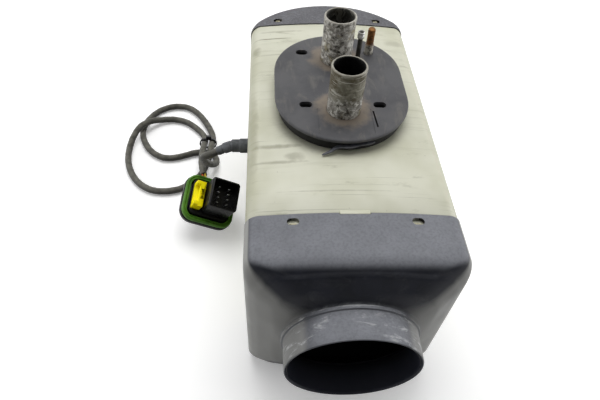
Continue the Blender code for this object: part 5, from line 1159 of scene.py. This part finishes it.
@dataclass
class BodyShells(Assembly):
    """The two beige clam shells with collars, tongues and the small tab over the outlet hood."""

    side_cover: tuple[float, float] = (0.2035, 0.2465)
    tab_half: float = 0.0100

    def section_stations(self) -> list[tuple[float, float]]:
        """Stations along the shells, each with its inset from the visible skin."""
        collar = COLLAR_INSET - 0.0005
        steps = [(FRONT_JOINT - 0.015, collar), (FRONT_JOINT + 0.0003, collar),
                 (FRONT_JOINT + 0.0004, 0.0003), (FRONT_JOINT + 0.0008, 0.0)]
        length = REAR_JOINT - FRONT_JOINT - 0.0016
        steps += [(FRONT_JOINT + 0.0008 + length * i / 8, 0.0) for i in range(1, 8)]
        return steps + [(REAR_JOINT - 0.0008, 0.0), (REAR_JOINT - 0.0004, 0.0003),
                        (REAR_JOINT - 0.0003, collar), (REAR_JOINT + 0.0045, collar)]

    def half_shell(self, name: str, upper: bool) -> bpy.types.Object:
        """One shell: an open skin drawn along the body, then given its wall.

        Args:
            name: Its name.
            upper: Whether it is the one with the mounting foot.

        Returns:
            The shell.
        """
        rings = []
        for station, inset in self.section_stations():
            if upper:
                outline = upper_half(BODY_HALF, BODY_TOP, CORNER, inset)
                outline = [(x, max(z, PARTING + 0.00015)) for x, z in outline]
            else:
                outline = lower_half(BODY_HALF, CORNER, inset and COLLAR_INSET)
                outline = [(x, min(z, PARTING - 0.00015)) for x, z in outline]
            rings.append(at_station(outline, station))
        shell = drawn_through(name, rings)
        only(shell)
        bpy.ops.object.mode_set(mode="EDIT")
        bpy.ops.mesh.select_all(action="DESELECT")
        mesh = bmesh.from_edit_mesh(shell.data)
        across = [face for face in mesh.faces
                  if all(abs(v.co.z - PARTING) < 0.0002 for v in face.verts)]
        for face in across:
            face.select_set(True)
        bpy.ops.mesh.delete(type="FACE")
        bpy.ops.object.mode_set(mode="OBJECT")
        thicken(shell, SHELL_WALL)
        return shell

    def build(self) -> None:
        """Both shells, opened for the foot and the side cover."""
        upper, lower = self.half_shell("beige_shell_above", True), self.half_shell("beige_shell_below", False)
        foot = drawn_through("foot opening", [stadium(FOOT_OPENING, BODY_TOP + z) for z in (-0.02, 0.02)],
                             capped=True)
        cut(upper, foot)
        front, rear = (along(s) for s in self.side_cover)
        for shell in (upper, lower):
            window = box("side window", (-0.080, front - GAP, AXIS_HEIGHT - 0.0153),
                         (-0.0605, rear + GAP, AXIS_HEIGHT + 0.0153))
            cut(shell, window)
        tab = box("tab", (-self.tab_half + 0.0004, along(FRONT_JOINT - 0.0010), BODY_TOP - 0.0020),
                  (self.tab_half - 0.0004, along(FRONT_JOINT + 0.0020), BODY_TOP + 0.0003))
        bevelled(tab, 0.0003)
        upper = join([upper, tab])
        for shell, node in ((upper, "mounting_shell"), (lower, "cover_shell")):
            smooth(shell, 40)
            self.add(shell, SHELL, "shell_plastic", [node])
        self.tongues()

    def tongues(self) -> None:
        """Wedge-shaped snap tongues that show in the oval holes of the hoods."""
        made = []
        for (x, station), lean in ((FRONT_SNAP, -1), (REAR_SNAP, 1)):
            for side in (-1, 1):
                for above in (True, False):
                    top = HOOD_TOP - CROWN * (x / (HOOD_HALF - CORNER)) ** 2 if above else 0.0
                    up = 1 if above else -1
                    base = [Vector((side * x + px, along(station) + lean * 0.0008 + py, top - up * 0.0042))
                            for px, py in rounded(0.0058, 0.0034, 0.0015, 6)]
                    crest = [Vector((side * x + px, along(station) + lean * 0.0012 + py, top - up * 0.0012))
                             for px, py in rounded(0.0040, 0.0018, 0.0008, 6)]
                    tongue = drawn_through("snap_tongue", [base, crest], capped=True)
                    bevelled(tongue, 0.0005, 3)
                    made.append(tongue)
        tongues = join(made)
        tongues.name = tongues.data.name = "snap_tongues"
        smooth(tongues, 45)
        self.add(tongues, TONGUE, "shell_plastic")


@dataclass
class OutletHood(Assembly):
    """Warm-air hood: soft shoulder, four soft facets, a collar and the round spigot."""

    face: float = 0.0235
    shoulder: float = 0.033
    face_ring: float = 0.0495
    shoulder_length: float = 0.012

    def skin(self) -> list[Ring]:
        """Outlines of the outside, from the spigot's rim to the joint."""
        corner = whole_section(HOOD_HALF, HOOD_TOP, 0.026, 0.0055)
        angles = [math.atan2(z - AXIS_HEIGHT, x) for x, z in corner]

        def turned(radius: float) -> Outline:
            return [(radius * math.cos(a), AXIS_HEIGHT + radius * math.sin(a)) for a in angles]

        def squared(angle: float, half: float, radius: float) -> float:
            """Distance from the axis to a soft-cornered square."""
            c, s = sorted((abs(math.cos(angle)), abs(math.sin(angle))), reverse=True)
            flat, centre = half / c, half - radius
            if flat * s <= centre:
                return flat
            reach = (c + s) * centre
            return reach + math.sqrt(reach ** 2 - 2 * centre ** 2 + radius ** 2)

        face = [(squared(a, self.face_ring, 0.019) * math.cos(a),
                 AXIS_HEIGHT + squared(a, self.face_ring, 0.019) * math.sin(a)) for a in angles]

        def blend(share: float) -> Outline:
            return [((1 - share) * x + share * fx, (1 - share) * z + share * fz)
                    for (x, z), (fx, fz) in zip(corner, face)]

        rings = [(0.0, turned(SPIGOT - 0.0006)), (0.0002, turned(SPIGOT - 0.0002)), (0.0006, turned(SPIGOT))]
        rings += [(0.0006 + (self.face - 0.0046) * i / 5, turned(SPIGOT)) for i in range(1, 5)]
        rings += [(self.face - before, turned(SPIGOT + raised)) for before, raised in (
            (0.0040, 0.0), (0.0037, 0.0002), (0.0034, 0.0011), (0.0030, 0.0013), (0.0012, 0.0014),
            (0.0007, 0.0020))]
        rings += [(self.face - 0.0002, turned(self.face_ring - 0.0012)), (self.face + 0.0008, blend(0.95))]
        rings += [(self.face + 0.0008 + (0.0089 - 0.0008) * t, blend(0.95 * (1 - t)))
                  for t in (0.25, 0.5, 0.75, 0.9)]
        for i in range(15):
            t = i / 14
            rings.append((self.shoulder + self.shoulder_length * t,
                          whole_section(HOOD_HALF, HOOD_TOP, CORNER + 0.015 * (1 - t) ** 1.7,
                                        0.0055 * (1 - t) ** 3.1)))
        start = self.shoulder + self.shoulder_length
        plain = whole_section(HOOD_HALF, HOOD_TOP, CORNER)
        rings += [(start + (FRONT_JOINT - 0.0003 - start) * i / 4, plain) for i in range(1, 5)]
        rings.append((FRONT_JOINT, whole_section(HOOD_HALF, HOOD_TOP, CORNER, 0.0003)))
        return [at_station(outline, station) for station, outline in rings]

    def build(self) -> None:
        """The hood with its snap holes and the notch for the shell's tab."""
        hood = drawn_through("outlet_hood_skin", self.skin())
        thicken(hood, HOOD_WALL)
        cut(hood, *snap_cutters(*FRONT_SNAP))
        notch = box("notch", (-0.0100, along(FRONT_JOINT - 0.0014), HOOD_TOP - 0.0035),
                    (0.0100, along(FRONT_JOINT + 0.0020), HOOD_TOP + 0.0020))
        cut(hood, notch)
        smooth(hood, 38)
        self.add(hood, HOOD_FRONT, "hood_plastic", ["outlet_hood"])


def snap_cutters(x: float, station: float) -> list[bpy.types.Object]:
    """Oval cutters of a hood's four snap holes.

    Args:
        x: Distance of the holes from the middle.
        station: Station of the holes.

    Returns:
        The cutters.
    """
    cutters = []
    for side in (-1, 1):
        outline = [(side * x + px, along(station) + py) for px, py in rounded(0.0078, 0.0052, 0.0025, 10)]
        cutters.append(prism("upper snap hole", outline, HOOD_TOP - 0.0065, HOOD_TOP + 0.002))
        cutters.append(prism("lower snap hole", outline, -0.002, 0.0045))
    return cutters


@dataclass
class IntakeHood(Assembly):
    """Cold-air hood: bowed rear wall, round spigot and the grille in its mouth."""

    apex: float = 0.333
    cheek: float = 0.3015
    cheek_half: float = 0.0665
    edge: float = 0.007

    def plan(self, inset: float, grow: float) -> Outline:
        """Plan outline: cheeks and one arc across the rear.

        Args:
            inset: Distance inside the visible skin.
            grow: Length added in front of the joint.

        Returns:
            The outline.
        """
        half, rise = HOOD_HALF - inset, self.apex - self.cheek
        radius = (self.cheek_half ** 2 + rise ** 2) / (2 * rise)
        sweep_angle = math.asin(self.cheek_half / radius)
        bow = arc(0, along(self.apex) - radius, radius - inset, math.pi / 2 - sweep_angle,
                  math.pi / 2 + sweep_angle, 44)
        low = bow[0][1] - 0.0028
        turn = [((1 - t) ** 2 * half + 2 * t * (1 - t) * half + t * t * bow[0][0],
                 (1 - t) ** 2 * low + 2 * t * (1 - t) * (low + 0.0018) + t * t * bow[0][1])
                for t in (0.0, 0.2, 0.4, 0.6, 0.8)]
        front = along(REAR_JOINT) - grow
        return [(half, front)] + turn + bow + [(-x, y) for x, y in reversed(turn)] + [(-half, front)]

    def form(self, name: str, inset: float, grow: float) -> bpy.types.Object:
        """Closed form: plan outlines stacked with rounded edges, inside the crowned section.

        Args:
            name: Its name.
            inset: Distance inside the visible skin.
            grow: Length added in front of the joint.

        Returns:
            The form.
        """
        steps = [math.pi / 2 * i / 8 for i in range(9)]
        draws = [(self.edge * (1 - math.cos(a)), self.edge * (1 - math.sin(a))) for a in steps]
        past = 0.0004
        levels = ([(inset - past + rise, draw) for rise, draw in draws]
                  + [(HOOD_TOP + past - inset - rise, draw) for rise, draw in reversed(draws)])
        body = drawn_through(name, [[Vector((x, y, z)) for x, y in self.plan(inset + draw, grow + 0.002)]
                                    for z, draw in levels], capped=True)
        section = whole_section(HOOD_HALF, HOOD_TOP, CORNER, inset)
        sleeve = drawn_through(name + " sleeve", [at_station(section, REAR_JOINT - grow),
                                                  at_station(section, self.apex + 0.01)], capped=True)
        combine(body, sleeve, "INTERSECT")
        return body

    def build(self) -> None:
        """The hood with its spigot, hollow, bore and snap holes, and the grille."""
        hood = self.form("intake_hood_skin", 0.0, 0.0)
        axis, root = Vector((0, 1, 0)), self.cheek + 0.0043
        reach = TOTAL_LENGTH - root
        profile = [(SPIGOT, 0), (SPIGOT, reach * 0.5), (SPIGOT, reach - 0.0006),
                   (SPIGOT - 0.0002, reach - 0.0002), (SPIGOT - 0.0006, reach)]
        spigot = drawn_through("intake spigot", round_rings(profile, (0, along(root), AXIS_HEIGHT), 96, axis),
                               capped=True)
        combine(hood, spigot, "UNION")
        cut(hood, self.form("intake hollow", HOOD_WALL, 0.01))
        wall = [(SPIGOT - HOOD_WALL, -0.01), (SPIGOT - HOOD_WALL, 0.08)]
        bore = drawn_through("intake bore", round_rings(wall, (0, along(root), AXIS_HEIGHT), 96, axis),
                             capped=True)
        cut(hood, bore)
        cut(hood, *snap_cutters(*REAR_SNAP))
        smooth(hood, 38)
        self.add(hood, HOOD_REAR, "hood_plastic", ["intake_hood"])
        self.build_grille()

    def build_grille(self) -> None:
        """Three round-edged rings on six spokes."""
        outer, middle = SPIGOT - HOOD_WALL - GAP, TOTAL_LENGTH - 0.0085 - 0.0015
        centre = (0, along(middle), AXIS_HEIGHT)
        rings = []
        for radius, width, depth in ((outer - 0.00125, 0.0025, 0.003), (outer * 0.66, 0.0016, 0.0024),
                                     (outer * 0.34, 0.0016, 0.0024)):
            profile = [(radius + x, z) for x, z in rounded(width, depth, 0.0005, 3)]
            profile.append(profile[0])
            rings.append(drawn_through("grille ring", round_rings(profile, centre, 80, Vector((0, 1, 0))),
                                       joined=True))
        grille = rings[0]
        for ring in rings[1:]:
            grille = join([grille, ring])
        for i in range(3):
            turn = Matrix.Translation(centre) @ Matrix.Rotation(i * math.pi / 3 + 0.01, 4, "Y")
            spoke = box("spoke", (-outer + 0.001, -0.00105, -0.0008), (outer - 0.001, 0.00105, 0.0008), turn)
            combine(grille, spoke, "UNION")
        grille.name = grille.data.name = "intake_guard"
        smooth(grille, 40)
        self.add(grille, HOOD_REAR, "hood_plastic", ["intake_grille"])


@dataclass
class FlangeSeal(Assembly):
    """Rubber cap over the foot: rim band, base, pipe and stud holes, moulded lines, slit and torn lip."""

    radius: float = 0.0494
    band: float = 0.0046

    def build(self) -> None:
        """The seal with its holes, lines, slit and torn strip."""
        low, under = BODY_TOP + GAP, SEAL_TOP - self.band
        ceiling = FOOT_TOP + GAP
        rings = [stadium(self.radius - inset, SEAL_TOP - depth) for inset, depth in (
            (0.0020, 0.0), (0.0009, 0.0001), (0.0003, 0.0005), (0.0, 0.0012), (0.0, 0.0019), (0.0004, 0.0023),
            (0.0023, 0.0025), (0.0026, 0.0028))]
        rings += [stadium(self.radius - 0.0026, low + 0.0004), stadium(self.radius - 0.0030, low),
                  stadium(FOOT_OPENING, low), stadium(FOOT_OPENING, ceiling)]
        seal = drawn_through("rubber_seal", rings, capped=True)
        for station in (EXHAUST_AT, AIR_PIPE_AT):
            cut(seal, post("pipe hole", 0, along(station), 0.0124, under - 0.003, SEAL_TOP + 0.002, 64))
        cut(seal, post("fuel pipe hole", FUEL_PIPE[0], along(FUEL_PIPE[1]), 0.0022, under - 0.003,
                       SEAL_TOP + 0.002))
        for number, (x, station) in enumerate(STUD_PLACES):
            width = 0.0095 if number != 3 else 0.0078
            outline = [(x + px, along(station) + py) for px, py in rounded(width, 0.0066, 0.0032, 8)]
            cut(seal, prism("stud hole", outline, under - 0.003, SEAL_TOP + 0.002))
        self.cut_lines(seal)
        smooth(seal, 40)
        self.add(seal, SEAL, "seal_rubber", ["flange_seal"])
        self.build_strip()

    def cut_lines(self, seal: bpy.types.Object) -> None:
        """Two shallow moulded lines in front of the exhaust pipe and the slit beside one stud hole."""
        for x, end in ((-0.0190, 0.0022), (0.0195, 0.0022)):
            line = box("moulded line", (x - 0.0003, along(0.1365), SEAL_TOP - 0.0003),
                       (x + 0.0003, along(0.1610 + end), SEAL_TOP + 0.001))
            cut(seal, line)
        turn = (Matrix.Translation((0.0218, along(0.1520), SEAL_TOP))
                @ Matrix.Rotation(math.radians(4), 4, "Z"))
        cut(seal, box("slit", (-0.0006, -0.0085, -0.0030), (0.0006, 0.0090, 0.001), turn))

    def build_strip(self) -> None:
        """Torn strip of the rim that hangs down on the shell in front."""
        path = smooth_line([Vector((x, along(station), z)) for x, station, z in (
            (0.0185, 0.1352, 0.1452), (0.0120, 0.1318, 0.1455), (0.0030, 0.1296, 0.1450),
            (-0.0066, 0.1290, 0.1440), (-0.0120, 0.1276, 0.1418), (-0.0170, 0.1250, 0.1404))], 0.0012)
        count = len(path) - 1
        rings = []
        for i, point in enumerate(path):
            share = i / count
            ahead = (path[min(i + 1, count)] - path[max(i - 1, 0)]).normalized()
            across = Vector((0, 0, 1)).cross(ahead).normalized()
            up = ahead.cross(across)
            wide = 0.0021 * (1 - share) ** 0.55 + 0.0004
            wave = 0.0004 * math.sin(share * 17)
            rings.append([point + across * (x * wide / 0.002 + wave) + up * z
                          for x, z in rounded(0.004, 0.0014 - 0.0007 * share, 0.00034, 3)])
        strip = drawn_through("torn_lip", rings, capped=True)
        smooth(strip, 60)
        self.add(strip, SEAL_EDGE, "seal_rubber")


@dataclass
class PipesAndStud(Assembly):
    """Crusted exhaust and air pipes, fuel tube with its ferrule, and the threaded stud."""

    outer: float = 0.0121
    bore: float = PIPE_BORE
    seat: float = 0.1334
    around: int = 96

    def crust(self, seed: float, clear: float) -> Callable[[float, float], float]:
        """Uneven scale on a pipe: heavier low down, none where the seal grips it.

        Args:
            seed: Offset into the noise, so that the pipes differ.
            clear: Height below which the surface stays true.

        Returns:
            A function of the angle and the height.
        """
        def height(angle: float, z: float) -> float:
            if z < clear:
                return 0.0
            place = Vector((math.cos(angle), math.sin(angle), z / self.outer)) * 2.2 + Vector((seed, seed, 0))
            grain = noise.fractal(place * 2.4, 0.8, 2.1, 4)
            lump = max(0.0, noise.noise(place * 0.9) + 0.15)
            fade = min(1.0, (z - clear) / 0.002)
            low = max(0.25, 1.15 - (z - clear) / 0.030)
            return fade * (0.00016 * grain + 0.00042 * lump * low)
        return height

    def build_pipe(self, name: str, station: float, seed: float, node: str, finish: Finish) -> None:
        """One pipe with its rolled lip, from inside over the rim to outside.

        Args:
            name: Its name.
            station: Station of its axis.
            seed: Offset into the noise of its crust.
            node: CAD node that it stands for.
            finish: Its finish.
        """
        rough = self.crust(seed, SEAL_TOP + 0.0006)
        inner = self.crust(seed + 7.7, PIPE_TOP - 0.030)
        top = PIPE_TOP - 0.0002
        profile = [(self.bore, self.seat), (self.bore, SEAL_TOP)]
        profile += [(self.bore, SEAL_TOP + (top - 0.0010 - SEAL_TOP) * i / 24) for i in range(1, 25)]
        profile += [(self.bore + 0.0002, top - 0.0003), (self.bore + 0.0006, top), (self.outer - 0.0003, top),
                    (self.outer + 0.0001, top - 0.0004), (self.outer + 0.00025, top - 0.0012),
                    (self.outer + 0.0002, top - 0.0024), (self.outer, top - 0.0031)]
        profile += [(self.outer, top - 0.0031 - (top - 0.0037 - SEAL_TOP) * i / 34) for i in range(1, 35)]
        profile += [(self.outer, SEAL_TOP - 0.001), (self.outer, self.seat), (self.bore, self.seat)]

        rings = []
        for number, ring in enumerate(round_rings(profile, (0, along(station), 0), self.around)):
            radius, z = profile[number]
            moved = []
            for j, point in enumerate(ring):
                angle = math.tau * j / self.around
                centre = Vector((0, along(station), point.z))
                outwards = (point - centre).normalized()
                if radius > (self.outer + self.bore) / 2:
                    shift = rough(angle, z)
                else:
                    shift = -inner(angle, z)
                moved.append(point + outwards * shift)
            rings.append(moved)
        rings[-1] = [p.copy() for p in rings[0]]
        pipe = drawn_through(name, rings, joined=True)
        smooth(pipe, 60)
        self.add(pipe, finish, "pipe_steel", [node])

    def build_fuel_tube(self) -> None:
        """Dark steel tube with a crimped bright ferrule."""
        place = (FUEL_PIPE[0], along(FUEL_PIPE[1]), 0)
        top = 0.1728
        tube = [(0.0009, self.seat), (0.0009, top - 0.0004), (0.0011, top - 0.0003), (0.0019, top - 0.0004),
                (0.0019, 0.160), (0.0019, SEAL_TOP + 0.0030), (0.0019, self.seat), (0.0009, self.seat)]
        piece = drawn_through("fuel_tube", round_rings(tube, place, 28), joined=True)
        smooth(piece, 40)
        self.add(piece, FUEL_TUBE, "pipe_steel", ["fuel_pipe"])
        low = top - 0.005
        ring = [(0.00205, low), (0.00205, top - 0.0002), (0.00225, top), (0.0025, top),
                (0.00275, top - 0.0003), (0.00275, top - 0.0012), (0.0025, top - 0.0015),
                (0.0025, top - 0.0021), (0.00275, top - 0.0024), (0.00275, low + 0.0004), (0.0025, low),
                (0.00205, low)]
        piece = drawn_through("fuel_ferrule", round_rings(ring, place, 36), joined=True)
        smooth(piece, 40)
        self.add(piece, FERRULE, "bright_steel", ["fuel_pipe_ferrule"])

    def build_stud(self) -> None:
        """Stud with a rolled M6 thread over a corroded collar."""
        place, top, collar = (STUD_PLACES[3][0], along(STUD_PLACES[3][1]), 0), 0.1713, STUD_COLLAR
        foot = FOOT_TOP - 0.010 + GAP
        pitch = 0.0010

        def thread(angle: float, z: float) -> float:
            if z < collar + 0.0002:
                spot = Vector((math.cos(angle) * 3, math.sin(angle) * 3, z * 900))
                return 0.00018 * noise.noise(spot) if FOOT_TOP + 0.006 < z < collar - 0.0002 else 0.0
            phase = ((z - collar) / pitch - angle / math.tau) % 1.0
            worn = 0.00008 * noise.noise(Vector((math.cos(angle) * 2, math.sin(angle) * 2, z * 400)))
            return -0.00055 * (abs(phase - 0.5) * 2) ** 0.8 + worn

        fine = [(0.003, collar + 0.0001 + (top - 0.0007 - collar) * i / 110) for i in range(111)]
        profile = [(0.0025, foot), (0.0025, FOOT_TOP + GAP), (0.0034, FOOT_TOP + GAP), (0.0034, SEAL_TOP)]
        profile += [(0.0034, SEAL_TOP + (collar - 0.0004 - SEAL_TOP) * i / 10) for i in range(1, 11)]
        profile += [(0.0031, collar - 0.0001)] + fine + [(0.0024, top - 0.0001), (0.0014, top)]
        stud = drawn_through("threaded_stud", round_rings(profile, place, 36, shape=thread), capped=True)
        smooth(stud, 50)
        self.add(stud, STUD, "rusty_steel", ["mounting_stud"])

    def build(self) -> None:
        """All four pieces that stand through the seal."""
        self.build_pipe("exhaust_tube", EXHAUST_AT, 1.3, "exhaust_pipe", EXHAUST)
        self.build_pipe("air_tube", AIR_PIPE_AT, 5.9, "combustion_air_pipe", AIR_PIPE)
        self.build_fuel_tube()
        self.build_stud()


@dataclass
class SideEntry(Assembly):
    """Side cover with its rounded edge and the stepped rubber gland."""

    def build(self) -> None:
        """Side cover and gland."""
        cover = merged_copy("side_cover", "side_plate")
        bevelled(cover, 0.0004, 3)
        smooth(cover, 35)
        self.add(cover, SIDE_COVER, "side_cover_plastic", ["side_cover"])
        self.build_gland()

    def build_gland(self) -> None:
        """Gland with round-edged steps that droops under the cable's weight."""
        face = -BODY_HALF - 0.0011 - GAP
        start, y = Vector((face, along(0.2115), AXIS_HEIGHT)), Vector((0, 1, 0))
        droops = (0.0, math.radians(24), math.radians(30))
        lengths, radii = (0.0160, 0.0078, 0.0068), (0.0065, 0.0049, 0.0041)
        points, widths = [start + Vector((0.0043, 0, 0)), start + Vector((0.0001, 0, 0))], [0.0050, 0.0050]
        at = start
        for number, (length, radius, droop) in enumerate(zip(lengths, radii, droops)):
            ahead = Vector((-math.cos(droop), 0, -math.sin(droop)))
            shares = [0.002, 0.03, 0.08, 0.3, 0.5, 0.52, 0.56, 0.6, 0.9, 0.96, 0.995]
            for share in shares:
                edge = min(share, 1 - share) * length
                lost = 0.0006 * max(0.0, 1 - edge / 0.0006) ** 2
                step = -0.0007 if share > 0.54 and number == 0 else 0.0
                points.append(at + ahead * length * share)
                widths.append(radius - lost + step)
            at = at + ahead * length
        gland = drawn_through("rubber_gland", sweep(points, widths, 40), capped=True)
        smooth(gland, 38)
        self.add(gland, GLAND, "seal_rubber", ["cable_gland"])


@dataclass
class Plug(Assembly):
    """Flange plug: green lip seal, back box, connector with its pins and the yellow lock."""

    centre: tuple[float, float, float] = (-0.1095, -0.0045, 0.0275)
    normal: tuple[float, float, float] = (0.42, -0.35, 0.84)
    right: tuple[float, float, float] = (0.897, 0.02, -0.441)
    offset: float = 0.0055

    def frame(self) -> Matrix:
        """Frame of the plug: X across, Y up its face, Z out of its face."""
        normal, right = Vector(self.normal).normalized(), Vector(self.right)
        right = (right - normal * right.dot(normal)).normalized()
        up = normal.cross(right)
        return Matrix.Translation(self.centre) @ Matrix((right, up, normal)).transposed().to_4x4()

    def lock_middle(self) -> float:
        """Middle of the lock across the plug: half a housing, two clearances and half a lock beside it."""
        return self.offset - 0.013 - GAP - 0.0012 - 0.00425

    def stack(self, name: str, width: float, height: float, corner: float,
              levels: Sequence[tuple[float, float]], shift: float = 0.0, capped: bool = True,
              joined: bool = False) -> bpy.types.Object:
        """Rounded rectangles stacked along the plug's face, each at a height and inset.

        Args:
            name: Its name.
            width: Whole width.
            height: Whole height.
            corner: Corner radius.
            levels: Height and inset of each outline.
            shift: Distance across from the plug's middle.
            capped: Whether both ends are closed.
            joined: Whether the last outline meets the first.

        Returns:
            The piece.
        """
        frame = self.frame()
        rings = [[frame @ Vector((x + shift, y, z)) for x, y in
                  rounded(width - 2 * inset, height - 2 * inset, max(corner - inset, 0.0004))]
                 for z, inset in levels]
        return drawn_through(name, rings, capped=capped, joined=joined)

    def build_flange(self) -> None:
        """Flange with its back box."""
        flange = self.stack("flange_plate", 0.050, 0.046, 0.012, [
            (-0.0060, 0.0010), (-0.0057, 0.0004), (-0.0050, 0.0), (-0.0036, 0.0), (-0.0034, 0.0003),
            (-0.0031, 0.0003), (-0.0029, 0.0), (-0.0009, 0.0), (-0.0003, 0.0004), (0.0, 0.0010)])
        back = self.stack("back box", 0.030, 0.028, 0.004, [
            (-0.0145, 0.0008), (-0.0141, 0.0003), (-0.0135, 0.0), (-0.0035, 0.0)])
        combine(flange, back, "UNION")
        smooth(flange, 40)
        self.add(flange, PLUG_BLACK, "plug_plastic", ["plug_flange"])

    def build_seal(self) -> None:
        """Green seal with two lips and a groove between them."""
        seal = self.stack("green_seal", 0.0488, 0.0448, 0.0114, [
            (0.0003, 0.0003), (0.0006, 0.0), (0.0028, 0.0), (0.0036, 0.0004), (0.0041, 0.0010),
            (0.0043, 0.0015), (0.0040, 0.0020), (0.0034, 0.0023), (0.0033, 0.0027), (0.0037, 0.0030),
            (0.0040, 0.0035), (0.0037, 0.0041), (0.0028, 0.0045), (0.0006, 0.0045), (0.0003, 0.0042),
            (0.0003, 0.0003)],
            capped=False, joined=True)
        smooth(seal, 60)
        self.add(seal, PLUG_GREEN, "green_rubber", ["plug_seal"])

    def build_connector(self) -> None:
        """Base with its lock slot, and the housing with its grooves, mouth and pins."""
        frame = self.frame()
        base = self.stack("plug_base", 0.037, 0.034, 0.005, [(0.0003, 0.0003), (0.0006, 0.0), (0.0046, 0.0),
                                                             (0.0051, 0.0002), (0.0053, 0.0007)])
        slot = box("slot", (self.lock_middle() - 0.00455, -0.0123, 0.0020),
                   (self.lock_middle() + 0.00455, 0.0123, 0.0080), frame)
        cut(base, slot)
        smooth(base, 40)
        self.add(base, PLUG_BLACK, "plug_plastic", ["connector_base"])
        low = 0.0056
        housing = self.stack("plug_shroud", 0.026, 0.028, 0.0030, [
            (low, 0.0003), (low + 0.0003, 0.0), (low + 0.0060, 0.0), (low + 0.0063, 0.0004),
            (low + 0.0069, 0.0004), (low + 0.0072, 0.0), (low + 0.0228, 0.0), (low + 0.0236, 0.0003),
            (low + 0.0240, 0.0009)],
            shift=self.offset)
        mouth = self.stack("mouth", 0.022, 0.024, 0.0016, [(low + 0.012, 0.0), (low + 0.030, 0.0)],
                           shift=self.offset)
        cut(housing, mouth)
        for side in (-1, 1):
            key = box("key groove", (self.offset - 0.0018, side * 0.0128, low + 0.0150),
                      (self.offset + 0.0018, side * 0.0112, low + 0.0300), frame)
            cut(housing, key)
        smooth(housing, 40)
        self.add(housing, PLUG_BLACK, "plug_plastic", ["connector_housing"])
        pins = []
        for i in range(4):
            for j in range(2):
                x, y = self.offset - 0.0045 + 0.009 * j, -0.0075 + 0.005 * i
                pin = box("pin", (x - 0.0008, y - 0.0003, low + 0.0115),
                          (x + 0.0008, y + 0.0003, low + 0.0190), frame)
                bevelled(pin, 0.0002)
                pins.append(pin)
        pin = join(pins)
        pin.name = pin.data.name = "contact_pins"
        self.add(pin, BRIGHT, "bright_steel")

    def build_lock(self) -> None:
        """Yellow lock: a thick bar with two lugs towards the seal and finger ridges."""
        frame = self.frame()
        middle = self.lock_middle()
        low, high = 0.0023, 0.0153
        lock = box("yellow_lock", (middle - 0.00425, -0.012, low), (middle + 0.00425, 0.012, high), frame)
        for y0, y1, depth in ((-0.0075, 0.0085, 0.0062), (-0.0200, -0.0110, 0.0030)):
            cut(lock, box("recess", (middle - 0.0060, y0, high - depth), (middle - 0.0004, y1, high + 0.003),
                          frame))
        for i in range(3):
            y = -0.0040 + 0.0040 * i
            cut(lock, box("finger groove", (middle + 0.0006, y - 0.0004, high - 0.0007),
                          (middle + 0.0036, y + 0.0004, high + 0.001), frame))
        bevelled(lock, 0.0004, 3)
        smooth(lock, 40)
        self.add(lock, PLUG_YELLOW, "yellow_plastic", ["secondary_lock"], body="lock")

    def build(self) -> None:
        """All pieces of the plug."""
        self.build_flange()
        self.build_seal()
        self.build_connector()
        self.build_lock()


@dataclass
class InnerPieces(Assembly):
    """Finer copies of the CAD pieces that show through the openings or when the heater is taken apart."""

    rounding: tuple[tuple[str, float, str], ...] = (
        ("heat_exchanger", 0.0004, "cast_aluminium"), ("motor_can", 0.0004, "bright_steel"),
        ("control_housing", 0.0005, "inner_plastic"), ("control_cover", 0.0005, "inner_plastic"),
        ("blower_housing", 0.0005, "cast_aluminium"), ("blower_cover", 0.0004, "cast_aluminium"),
        ("cable_tie", 0.0002, "plug_plastic"), ("fan_wheel", 0.0002, "inner_plastic"),
        ("combustion_chamber", 0.0002, "heat_steel"))
    on_rotor: tuple[str, ...] = ("fan_wheel",)

    def build(self) -> None:
        """Round the edges of each copy and shade it smoothly."""
        for node, width, slot in self.rounding:
            copy = merged_copy(node, f"{node}_rounded")
            bevelled(copy, width, 2, 50)
            smooth(copy, 35)
            self.add(copy, CAD_FINISHES[node], slot, [node],
                     body="rotor" if node in self.on_rotor else None)


@dataclass
class CadDressing(Assembly):
    """CAD nodes that stay and get their finish."""

    def build(self, frame: dict) -> None:
        """Dress every CAD node, also those that a finer piece stands for."""
        for name, node in frame["nodes"].items():
            finish = CAD_FINISHES[name]
            node.data.materials.clear()
            node.data.materials.append(finish.material())
            log.info("%s: %s", name, finish.name)


def main() -> None:
    """Load the frame, build everything in order and report it."""
    logging.basicConfig(level=logging.INFO, format="%(message)s", stream=sys.stdout)
    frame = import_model()
    Studio().build()
    CadDressing().build(frame)
    BodyShells().build()
    OutletHood().build()
    IntakeHood().build()
    FlangeSeal().build()
    PipesAndStud().build()
    SideEntry().build()
    Plug().build()
    Harness().build()
    InnerPieces().build()


if __name__ == "__main__":
    main()
